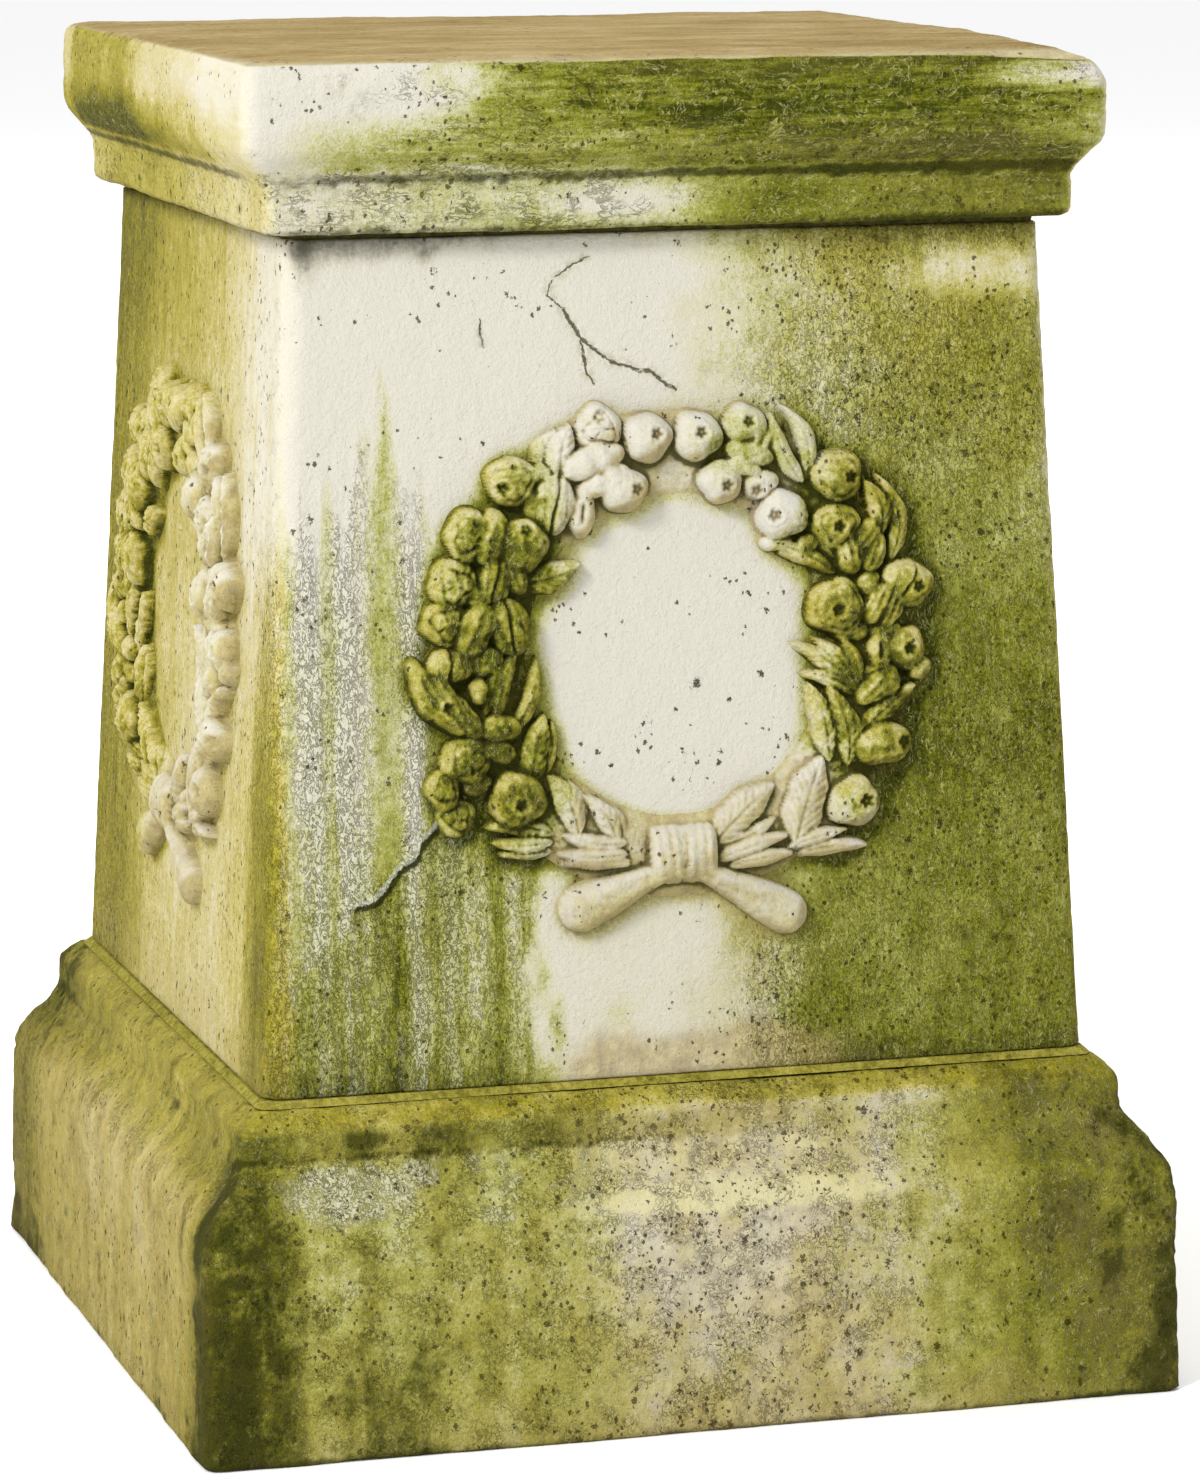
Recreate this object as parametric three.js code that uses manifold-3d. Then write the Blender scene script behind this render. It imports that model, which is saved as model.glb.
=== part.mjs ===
// Square garden pedestal of cast stone, built in sections: a moulded base, a hollow tapering die,
// a moulded cap, two bedding joints with their dowels and setting shims, and four fruit wreaths
// pinned to the faces of the die. Millimetres, +Z up, origin at the centre of the underside.
// The front is -Y.
import * as THREE from 'three';
import { mergeVertices } from 'three/addons/utils/BufferGeometryUtils.js';
import Module from 'manifold-3d';

const wasm = await Module();
wasm.setup();

// ---------- driving dimensions ----------
const GAP = 0.3;               // clearance between pieces that bear on each other
const HEIGHT = 610;            // overall height, 24 in
const BASE_HALF = 228.6;       // half the plinth's width, 18 in square
const BASE_TOP = 152.6;        // bed of the lower joint
const DIE_BOTTOM = 156;
const DIE_TOP = 531;
const DIE_HALF_BOTTOM = 192.2; // half width of the die at its foot
const BATTER = 0.04907;        // inward slope of each die face, mm per mm of height
const CAP_BOTTOM = 534;
const CORE_HALF = 115;         // half width of the square core through base and die
const BED_CORE_HALF = 118;     // the beds stop a little short of the core
const DOWEL_R = 6;
const DOWEL_SOCKET_R = 7;
const DOWEL_OFFSET = 144;      // from the axis to each dowel, mid-side
const LOWER_DOWEL = [104.6, 204.0];
const UPPER_DOWEL = [491.6, 573.4];
const SOCKET_END_GAP = 0.6;
const LOWER_PAD = { half: 18, at: 155 };
const UPPER_PAD = { half: 15, at: 145 };
const PAD_SLACK = 0.5;
const ARRIS_STEPS = 3;         // facets round each vertical corner
const WREATH_Z = 340;          // height of the wreath's working origin on the die face
const RING_A = 88, RING_B = 90, RING_V = 4.5, RING_HALF_WIDTH = 24, RING_RISE = 7.7;
const RELIEF = 0.7;            // the wreath's depth against the modelled fruit depths below
const PIN_R = 2.5, PIN_SOCKET_R = 3.1, PIN_AT = 88, PIN_IN = 28, PIN_OUT = 4.5;

const dieHalf = (z) => DIE_HALF_BOTTOM - (z - DIE_BOTTOM) * BATTER;
const BATTER_ANGLE = Math.atan(BATTER);

// ---------- materials ----------
const stoneColour = (r, g, b, rough) => new THREE.MeshStandardMaterial({ color: new THREE.Color(r, g, b), roughness: rough, metalness: 0 });
const matBase = stoneColour(0.45, 0.40, 0.22, 0.95);
const matDie = stoneColour(0.66, 0.64, 0.50, 0.92);
const matCap = stoneColour(0.52, 0.48, 0.30, 0.94);
const matWreath = stoneColour(0.58, 0.57, 0.36, 0.92);
const matMortar = stoneColour(0.30, 0.28, 0.20, 0.98);
const matSteel = new THREE.MeshStandardMaterial({ color: new THREE.Color(0.62, 0.63, 0.64), roughness: 0.35, metalness: 1 });
const matShim = new THREE.MeshStandardMaterial({ color: new THREE.Color(0.12, 0.12, 0.13), roughness: 0.6, metalness: 0 });

// ---------- helpers ----------
function toSolid(geometry) {
  let g = geometry.index ? geometry.clone() : geometry;
  g.deleteAttribute('normal');
  g.deleteAttribute('uv');
  g = mergeVertices(g, 1e-4);
  return new wasm.Manifold(new wasm.Mesh({
    numProp: 3,
    vertProperties: new Float32Array(g.attributes.position.array),
    triVerts: new Uint32Array(g.index.array),
  }));
}
function toGeometry(solid) {
  const m = solid.getMesh();
  const g = new THREE.BufferGeometry();
  g.setAttribute('position', new THREE.BufferAttribute(new Float32Array(m.vertProperties), 3));
  g.setIndex(new THREE.BufferAttribute(new Uint32Array(m.triVerts), 1));
  g.computeVertexNormals();
  return g;
}
function placed(geometry, position, rotation = [0, 0, 0], scale = [1, 1, 1]) {
  const m = new THREE.Matrix4().compose(
    new THREE.Vector3(...position),
    new THREE.Quaternion().setFromEuler(new THREE.Euler(...rotation)),
    new THREE.Vector3(...scale));
  return geometry.applyMatrix4(m);
}
// A moulded square block: a lathe turned into a rounded square at every station.
// stations: [half width, z, corner radius], listed as a closed outline or from axis to axis.
function squareTurned(stations) {
  const per = ARRIS_STEPS + 1;
  const columns = 4 * per;
  const outline = stations.map(([w, z]) => new THREE.Vector2(w, z));
  const g = new THREE.LatheGeometry(outline, columns);
  const p = g.attributes.position;
  for (let i = 0; i <= columns; i++) {
    const col = i % columns;
    const corner = Math.floor(col / per);
    const t = (col % per) / ARRIS_STEPS;
    const phi = (corner + t) * Math.PI / 2;
    const mid = (corner + 0.5) * Math.PI / 2;
    for (let j = 0; j < stations.length; j++) {
      const [w, z, r] = stations[j];
      const rr = Math.min(r ?? 0, w);
      const c = (w - rr) * Math.SQRT2;
      p.setXYZ(i * stations.length + j,
        c * Math.sin(mid) + rr * Math.sin(phi),
        -c * Math.cos(mid) - rr * Math.cos(phi), z);
    }
  }
  return toSolid(g);
}
function uprightCylinder(x, y, z0, z1, r) {
  return toSolid(placed(new THREE.CylinderGeometry(r, r, z1 - z0, 12), [x, y, (z0 + z1) / 2], [Math.PI / 2, 0, 0]));
}
function uprightBox(x, y, half, z0, z1) {
  return toSolid(placed(new THREE.BoxGeometry(2 * half, 2 * half, z1 - z0), [x, y, (z0 + z1) / 2]));
}
function cutAll(solid, cutters) {
  return cutters.reduce((s, c) => s.subtract(c), solid);
}
const SIDES = [
  { name: 'front', turn: 0 },
  { name: 'right', turn: Math.PI / 2 },
  { name: 'back', turn: Math.PI },
  { name: 'left', turn: -Math.PI / 2 },
];
const sidePoint = (turn, d) => [d * Math.sin(turn), -d * Math.cos(turn)];
const CORNERS = [[1, -1], [1, 1], [-1, 1], [-1, -1]];
const CORNER_NAMES = ['front_right', 'back_right', 'back_left', 'front_left'];

const pedestal = new THREE.Group();
function addPiece(name, geometry, material, parent = pedestal) {
  const mesh = new THREE.Mesh(geometry, material);
  mesh.name = name;
  parent.add(mesh);
  return mesh;
}

// ---------- base: battered plinth, cyma, fillet and weathered ledge; square core right through ----------
let base = squareTurned([
  [BASE_HALF, 0, 7], [226.0, 92, 7], [225.2, 100, 7], [223.2, 106, 7], [220.2, 111, 7], [216.4, 116, 6],
  [212.2, 120.4, 6], [209.2, 125, 6], [206.9, 129.6, 6], [205.6, 134, 6], [205.4, 143.6, 6],
  [204.2, 145.8, 6], [200.6, 149.2, 6], [196.4, BASE_TOP, 6],
  [CORE_HALF, BASE_TOP, 8], [CORE_HALF, 0, 8], [BASE_HALF, 0, 7],
]);
// ---------- die: tapering hollow shaft ----------
let die = squareTurned([
  [dieHalf(DIE_BOTTOM), DIE_BOTTOM, 9.5], [dieHalf(DIE_TOP), DIE_TOP, 9.5],
  [CORE_HALF, DIE_TOP, 8], [CORE_HALF, DIE_BOTTOM, 8], [dieHalf(DIE_BOTTOM), DIE_BOTTOM, 9.5],
]);
// ---------- cap: fillet, under-bevel, crisp bevel, upright edge with a small round, and a flat top ----------
let cap = squareTurned([
  [0, CAP_BOTTOM, 0], [183.6, CAP_BOTTOM, 9], [185.4, 536.2, 9], [185.6, 553.6, 9], [187.4, 557.4, 9],
  [191.6, 562.2, 9], [195.9, 567.8, 9], [197.1, 570.6, 9], [197.5, 575, 9], [197.4, 600, 9],
  [197.1, 603.8, 9], [196.2, 606.8, 9], [194.7, 608.7, 9], [192.8, 609.6, 9], [190.6, HEIGHT, 9],
  [0, HEIGHT, 0],
]);

// ---------- beds of mortar ----------
let lowerBed = squareTurned([
  [195.4, BASE_TOP + GAP, 7], [192.6, DIE_BOTTOM - GAP, 8],
  [BED_CORE_HALF, DIE_BOTTOM - GAP, 8], [BED_CORE_HALF, BASE_TOP + GAP, 8], [195.4, BASE_TOP + GAP, 7],
]);
let upperBed = squareTurned([
  [172.2, DIE_TOP + GAP, 9], [172.6, CAP_BOTTOM - GAP, 9],
  [BED_CORE_HALF, CAP_BOTTOM - GAP, 8], [BED_CORE_HALF, DIE_TOP + GAP, 8], [172.2, DIE_TOP + GAP, 9],
]);

// dowels: sockets in both stones, a hole in the bed, and the bar itself
for (const side of SIDES) {
  const [x, y] = sidePoint(side.turn, DOWEL_OFFSET);
  base = base.subtract(uprightCylinder(x, y, LOWER_DOWEL[0] - SOCKET_END_GAP, BASE_TOP + 5, DOWEL_SOCKET_R));
  die = die.subtract(uprightCylinder(x, y, DIE_BOTTOM - 5, LOWER_DOWEL[1] + SOCKET_END_GAP, DOWEL_SOCKET_R));
  die = die.subtract(uprightCylinder(x, y, UPPER_DOWEL[0] - SOCKET_END_GAP, DIE_TOP + 5, DOWEL_SOCKET_R));
  cap = cap.subtract(uprightCylinder(x, y, CAP_BOTTOM - 5, UPPER_DOWEL[1] + SOCKET_END_GAP, DOWEL_SOCKET_R));
  lowerBed = lowerBed.subtract(uprightCylinder(x, y, BASE_TOP - 5, DIE_BOTTOM + 5, DOWEL_SOCKET_R));
  upperBed = upperBed.subtract(uprightCylinder(x, y, DIE_TOP - 5, CAP_BOTTOM + 5, DOWEL_SOCKET_R));
  addPiece(`lower_dowel_${side.name}`, toGeometry(uprightCylinder(x, y, LOWER_DOWEL[0], LOWER_DOWEL[1], DOWEL_R)), matSteel);
  addPiece(`upper_dowel_${side.name}`, toGeometry(uprightCylinder(x, y, UPPER_DOWEL[0], UPPER_DOWEL[1], DOWEL_R)), matSteel);
}
// setting shims in windows of the beds, one under each corner of the stone above
CORNERS.forEach(([sx, sy], i) => {
  const lo = LOWER_PAD, up = UPPER_PAD;
  lowerBed = lowerBed.subtract(uprightBox(sx * lo.at, sy * lo.at, lo.half + PAD_SLACK, BASE_TOP - 2, DIE_BOTTOM + 2));
  upperBed = upperBed.subtract(uprightBox(sx * up.at, sy * up.at, up.half + PAD_SLACK, DIE_TOP - 2, CAP_BOTTOM + 2));
  addPiece(`lower_shim_${CORNER_NAMES[i]}`, toGeometry(uprightBox(sx * lo.at, sy * lo.at, lo.half, BASE_TOP + GAP, DIE_BOTTOM - GAP)), matShim);
  addPiece(`upper_shim_${CORNER_NAMES[i]}`, toGeometry(uprightBox(sx * up.at, sy * up.at, up.half, DIE_TOP + GAP, CAP_BOTTOM - GAP)), matShim);
});

// ---------- wreath ----------
// Built flat: u across, v up the face, n out of it. Lists give the height as z on the pedestal.
// Fruit: u, z, half width, half height, turn in degrees, how far it stands out, and 1 for a main fruit.
const FRUIT = [
  [-76, 424, 11, 11, 0, 16, 1], [-57, 414, 9, 13.5, 0, 16, 1], [-44, 409, 7, 10, 0, 13, 0],
  [-91, 400, 12, 13, -15, 17, 1], [-72, 396, 12, 12, 0, 18, 1], [-103, 380, 11.5, 11.5, 0, 16, 1], [-82, 381, 11, 11, 0, 18, 0],
  [-107, 362, 11, 11, 0, 15, 0], [-93, 360, 9, 13, -25, 18, 1], [-78, 360, 9, 13, 18, 18, 1], [-106, 343, 11, 9, 0, 16, 0],
  [-108, 327, 13, 15, 35, 18, 1], [-98, 303, 12, 12, 0, 17, 1], [-107, 287, 8, 10, 0, 12, 0],
  [-76, 284, 13, 13, 0, 19, 1], [-36, 446, 11, 10.5, 0, 15, 1], [-38, 430, 14, 8, 15, 16, 0], [-27, 419, 13, 10.5, -15, 17, 1],
  [-14, 441, 11, 11, 0, 18, 1], [9, 441, 11.5, 11, 0, 18, 1], [31, 445, 10, 8.5, 0, 15, 1], [34, 433, 12, 6, -20, 14, 0],
  [20, 421, 10, 10, 0, 16, 1], [38, 419, 8.5, 7, 0, 13, 0], [48, 405, 11.5, 11, 0, 18, 1], [74, 421, 12, 11.5, 0, 16, 1],
  [73, 399, 11, 10.5, 0, 17, 1], [82, 388, 8, 10, -10, 16, 0], [72, 363, 13, 13, 0, 19, 1],
  [107, 371, 12, 10.5, -15, 17, 1], [94, 362, 9, 9, -20, 15, 0], [105, 343, 9.5, 9.5, 0, 15, 1],
  [93, 328, 7, 11, -40, 14, 0], [95, 301, 13, 10, 10, 17, 1], [80, 275, 12.5, 11.5, 10, 17, 1],
];
// Leaves: foot u, z, tip u, z, width, how far it stands out.
const LEAVES = [
  [-58, 424, -48, 446, 16, 11], [-72, 379, -46, 386, 13, 9], [-89, 320, -82, 349, 11, 13],
  [-80, 314, -68, 345, 13, 11], [-68, 291, -63, 320, 12, 10], [-50, 268, -61, 293, 13, 10], [-31, 262, -44, 283, 10, 10],
  [-22, 257, -57, 256, 14, 12], [-58, 264, -89, 266, 13, 10],
  [60, 420, 46, 451, 14, 12], [72, 379, 42, 392, 11, 9], [97, 386, 91, 419, 15, 12],
  [82, 326, 54, 347, 10, 12], [83, 325, 71, 349, 15, 13],
  [70, 295, 61, 328, 11, 11], [78, 294, 70, 328, 12, 12], [82, 304, 110, 326, 10, 12], [53, 259, 65, 295, 19, 12],
  [16, 261, 43, 284, 15, 11], [16, 254, 53, 256, 13, 11], [52, 256, 86, 259, 12, 11],
];
// Ribbon: two turns round the tie and two rounded ends below it. [u0, u1] of each turn.
const RIBBON_TURNS = [[-14.2, 0.4], [0, 14.6]];
const RIBBON_Z = 255.5, RIBBON_HALF = 13.5, RIBBON_OUT = 10.5;
const RIBBON_ENDS = [[-8, 248, -46, 233, 10.5, 12], [8, 248, 49, 226, 9.5, 12]];

const V = (z) => (z - WREATH_Z) / Math.cos(BATTER_ANGLE);
const deg = Math.PI / 180;
let wreath = toSolid(placed(new THREE.TorusGeometry(1, RING_HALF_WIDTH / RING_A, 4, 16), [0, RING_V, 0], [0, 0, 0],
  [RING_A, RING_B, RING_RISE * RING_A / RING_HALF_WIDTH]));
for (const [u, z, a, b, turn, depth, main] of FRUIT) {
  const out = depth * RELIEF;
  const n = Math.min(a, b, out - 2);
  const ball = main ? new THREE.SphereGeometry(1, 7, 4).rotateX(Math.PI / 2) : new THREE.SphereGeometry(1, 5, 3).rotateX(Math.PI / 2);
  wreath = wreath.add(toSolid(placed(ball, [u, V(z), out - n], [0, 0, turn * deg], [a, b, n])));
}
for (const [u0, z0, u1, z1, width, out] of LEAVES) {
  const du = u1 - u0, dv = V(z1) - V(z0), length = Math.hypot(du, dv);
  wreath = wreath.add(toSolid(placed(new THREE.OctahedronGeometry(1, 0), [(u0 + u1) / 2, (V(z0) + V(z1)) / 2, 1], [0, 0, Math.atan2(dv, du)],
    [length / 2 + 2, width / 2 + 2, out * RELIEF])));
}
for (const [u0, u1] of RIBBON_TURNS) {
  wreath = wreath.add(toSolid(placed(new THREE.CylinderGeometry(1, 1, u1 - u0, 10), [(u0 + u1) / 2, V(RIBBON_Z), 0], [0, 0, Math.PI / 2],
    [RIBBON_HALF, 1, RIBBON_OUT])));
}
for (const [u0, z0, u1, z1, r, out] of RIBBON_ENDS) {
  const du = u1 - u0, dv = V(z1) - V(z0), length = Math.hypot(du, dv);
  wreath = wreath.add(toSolid(placed(new THREE.CapsuleGeometry(r, length - r, 2, 8, 1), [(u0 + u1) / 2, (V(z0) + V(z1)) / 2, 1],
    [0, 0, Math.atan2(dv, du) - Math.PI / 2], [1, 1, (out * RELIEF - 1) / r])));
}
// flat bed behind, and sockets for the two fixing pins
wreath = wreath.subtract(toSolid(placed(new THREE.BoxGeometry(400, 400, 100), [0, 0, GAP - 50])));
const pinSpots = [[-PIN_AT, RING_V], [PIN_AT, RING_V]];
for (const [u, v] of pinSpots) {
  wreath = wreath.subtract(toSolid(placed(new THREE.CylinderGeometry(PIN_SOCKET_R, PIN_SOCKET_R, 20, 10), [u, v, PIN_OUT + 0.6 - 10], [Math.PI / 2, 0, 0])));
}
const wreathGeometry = toGeometry(wreath);
const pinGeometry = new THREE.CylinderGeometry(PIN_R, PIN_R, PIN_IN + PIN_OUT, 10).rotateX(Math.PI / 2);

for (const side of SIDES) {
  const turned = new THREE.Group();
  turned.rotation.z = side.turn;
  const onFace = new THREE.Group();
  onFace.position.set(0, -dieHalf(WREATH_Z), WREATH_Z);
  onFace.rotation.x = Math.PI / 2 - BATTER_ANGLE;
  turned.add(onFace);
  pedestal.add(turned);
  addPiece(`wreath_${side.name}`, wreathGeometry, matWreath, onFace);
  pinSpots.forEach(([u, v], i) => {
    const pin = addPiece(`wreath_pin_${side.name}_${i + 1}`, pinGeometry, matSteel, onFace);
    pin.position.set(u, v, (PIN_OUT - PIN_IN) / 2);
    // its socket in the die
    turned.updateMatrixWorld(true);
    const bore = new THREE.CylinderGeometry(PIN_SOCKET_R, PIN_SOCKET_R, PIN_IN + 0.6 + 10, 10).rotateX(Math.PI / 2);
    bore.translate(u, v, 10 - (PIN_IN + 0.6 + 10) / 2);
    die = die.subtract(toSolid(bore.applyMatrix4(onFace.matrixWorld)));
  });
}

addPiece('base', toGeometry(base), matBase);
addPiece('lower_bed', toGeometry(lowerBed), matMortar);
addPiece('die', toGeometry(die), matDie);
addPiece('upper_bed', toGeometry(upperBed), matMortar);
addPiece('cap', toGeometry(cap), matCap);

export default pedestal;
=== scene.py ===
# Looks for the garden pedestal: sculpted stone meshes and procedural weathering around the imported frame.
import bpy, bmesh, math
import numpy as np
from mathutils import Matrix, Vector


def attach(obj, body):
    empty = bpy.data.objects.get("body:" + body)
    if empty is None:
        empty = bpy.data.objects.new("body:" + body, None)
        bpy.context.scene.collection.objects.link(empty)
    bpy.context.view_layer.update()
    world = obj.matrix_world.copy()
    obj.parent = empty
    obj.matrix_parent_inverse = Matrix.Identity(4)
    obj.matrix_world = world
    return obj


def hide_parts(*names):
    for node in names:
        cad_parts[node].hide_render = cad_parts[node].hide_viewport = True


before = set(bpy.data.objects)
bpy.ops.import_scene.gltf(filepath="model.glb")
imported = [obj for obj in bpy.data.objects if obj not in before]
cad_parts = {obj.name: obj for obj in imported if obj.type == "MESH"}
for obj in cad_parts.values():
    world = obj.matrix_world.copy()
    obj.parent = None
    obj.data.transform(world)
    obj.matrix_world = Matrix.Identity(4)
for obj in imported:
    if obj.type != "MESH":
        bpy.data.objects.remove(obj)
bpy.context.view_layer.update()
MM = 0.001
scene = bpy.context.scene
scene.view_settings.view_transform = "Standard"

# ------------------------------------------------------------------ camera, floor, light
cam_data = bpy.data.cameras.new("camera")
cam_data.sensor_fit = "AUTO"
cam_data.sensor_width = 36.0
cam_data.lens = 141.6
cam_data.clip_start, cam_data.clip_end = 0.05, 150.0
cam = bpy.data.objects.new("camera", cam_data)
scene.collection.objects.link(cam)
R = Vector((0.95913, -0.28297, -0.00231)).normalized()
F = Vector((0.2786, 0.94568, -0.16756)).normalized()
U = R.cross(F).normalized()
F = U.cross(R).normalized()
M = Matrix.Identity(4)
for i in range(3):
    M[i][0], M[i][1], M[i][2] = R[i], U[i], -F[i]
M[0][3], M[1][3], M[2][3] = -0.7539, -2.6213, 0.7393
cam.matrix_world = M
scene.camera = cam


def area(name, at, to, size, energy, colour=(1, 1, 1)):
    d = bpy.data.lights.new(name, "AREA")
    d.shape = "DISK"
    d.size = size
    d.energy = energy
    d.color = colour
    o = bpy.data.objects.new(name, d)
    o.location = at
    o.rotation_euler = (Vector(to) - Vector(at)).to_track_quat("-Z", "Y").to_euler()
    scene.collection.objects.link(o)
    return o


area("key", (-2.6, -2.1, 2.7), (0, 0, 0.35), 0.9, 140, (1.0, 0.99, 0.97))
area("fill", (2.6, -3.0, 1.6), (0, 0, 0.3), 3.0, 6, (0.97, 0.985, 1.0))
area("back_fill", (0.9, 3.8, 3.2), (0.4, 2.8, 0.0), 3.4, 110, (1.0, 1.0, 1.0))
world = bpy.data.worlds.new("world")
scene.world = world
world.use_nodes = True
world.node_tree.nodes["Background"].inputs["Color"].default_value = (1.0, 1.0, 1.0, 1)
world.node_tree.nodes["Background"].inputs["Strength"].default_value = 1.0

floor_mesh = bpy.data.meshes.new("floor")
floor_mesh.from_pydata([(-60, -60, 0), (60, -60, 0), (60, 60, 0), (-60, 60, 0)], [], [(0, 1, 2, 3)])
floor = bpy.data.objects.new("floor", floor_mesh)
scene.collection.objects.link(floor)
floor_mat = bpy.data.materials.new("floor")
floor_mat.use_nodes = True
fb = floor_mat.node_tree.nodes["Principled BSDF"]
fb.inputs["Base Color"].default_value = (0.93, 0.93, 0.93, 1)
fb.inputs["Roughness"].default_value = 0.9
fb.inputs["Specular IOR Level"].default_value = 0.1
floor_mesh.materials.append(floor_mat)

# ------------------------------------------------------------------ noise and small maths (millimetres)


def _hash(ix, iy, iz, seed):
    h = (ix.astype(np.uint32) * np.uint32(374761393) + iy.astype(np.uint32) * np.uint32(668265263)
         + iz.astype(np.uint32) * np.uint32(2246822519) + np.uint32((seed * 3266489917) & 0xFFFFFFFF))
    h ^= h >> np.uint32(15)
    h *= np.uint32(2246822519)
    h ^= h >> np.uint32(13)
    h *= np.uint32(3266489917)
    h ^= h >> np.uint32(16)
    return h.astype(np.float64) / 4294967295.0


def vnoise(x, y, z, seed=0):
    x, y, z = np.broadcast_arrays(np.asarray(x, float), np.asarray(y, float), np.asarray(z, float))
    x0, y0, z0 = np.floor(x), np.floor(y), np.floor(z)
    fx, fy, fz = x - x0, y - y0, z - z0
    fx, fy, fz = [f * f * f * (f * (f * 6 - 15) + 10) for f in (fx, fy, fz)]
    ix, iy, iz = [a.astype(np.int64) & 0xFFFFFFFF for a in (x0, y0, z0)]
    out = 0.0
    for dx in (0, 1):
        wx = fx if dx else 1 - fx
        for dy in (0, 1):
            wy = fy if dy else 1 - fy
            for dz in (0, 1):
                wz = fz if dz else 1 - fz
                out = out + wx * wy * wz * _hash((ix + dx) & 0xFFFFFFFF, (iy + dy) & 0xFFFFFFFF, (iz + dz) & 0xFFFFFFFF, seed)
    return out


def fbm(x, y, z, octaves=4, seed=0, gain=0.5):
    total, amp, norm, f = 0.0, 1.0, 0.0, 1.0
    for i in range(octaves):
        total = total + amp * vnoise(x * f + 17.3 * i, y * f - 9.1 * i, z * f + 4.7 * i, seed + 31 * i)
        norm += amp
        amp *= gain
        f *= 2.03
    return total / norm


def ss(a, b, x):
    t = np.clip((x - a) / (b - a), 0, 1)
    return t * t * (3 - 2 * t)


def blob(u, z, cu, cz, ru, rz, soft=0.45, turn=0.0):
    c, s = math.cos(math.radians(turn)), math.sin(math.radians(turn))
    p, q = (u - cu) * c + (z - cz) * s, -(u - cu) * s + (z - cz) * c
    d = np.sqrt((p / ru) ** 2 + (q / rz) ** 2)
    return 1 - ss(1 - soft, 1 + soft, d)


def band(x, a, b, soft):
    return ss(a - soft, a + soft, x) * (1 - ss(b - soft, b + soft, x))


def line_distance(u, z, points):
    """Signed distance to a polyline (positive on its left), and how far along it the nearest point is, 0 to 1."""
    best = np.full(np.shape(u), 1e9)
    side = np.ones(np.shape(u))
    along = np.zeros(np.shape(u))
    pts = [np.array(p, float) for p in points]
    total = sum(np.linalg.norm(b - a) for a, b in zip(pts, pts[1:]))
    run = 0.0
    for a, b in zip(pts, pts[1:]):
        ab = b - a
        L = np.linalg.norm(ab)
        t = np.clip(((u - a[0]) * ab[0] + (z - a[1]) * ab[1]) / L ** 2, 0, 1)
        dx, dz = u - a[0] - t * ab[0], z - a[1] - t * ab[1]
        d = np.hypot(dx, dz)
        near = d < best
        best = np.where(near, d, best)
        side = np.where(near, np.sign(ab[0] * dz - ab[1] * dx) + 1e-9, side)
        along = np.where(near, (run + t * L) / total, along)
        run += L
    return best * np.sign(side), along


# ------------------------------------------------------------------ dimensions shared with the frame
BATTER = 0.04907
DIE_BOTTOM, DIE_TOP = 156.0, 531.0
die_half = lambda z: 192.2 - (z - DIE_BOTTOM) * BATTER
WREATH_Z = 340.0
RELIEF = 0.7
B_ANG = math.atan(BATTER)

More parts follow.
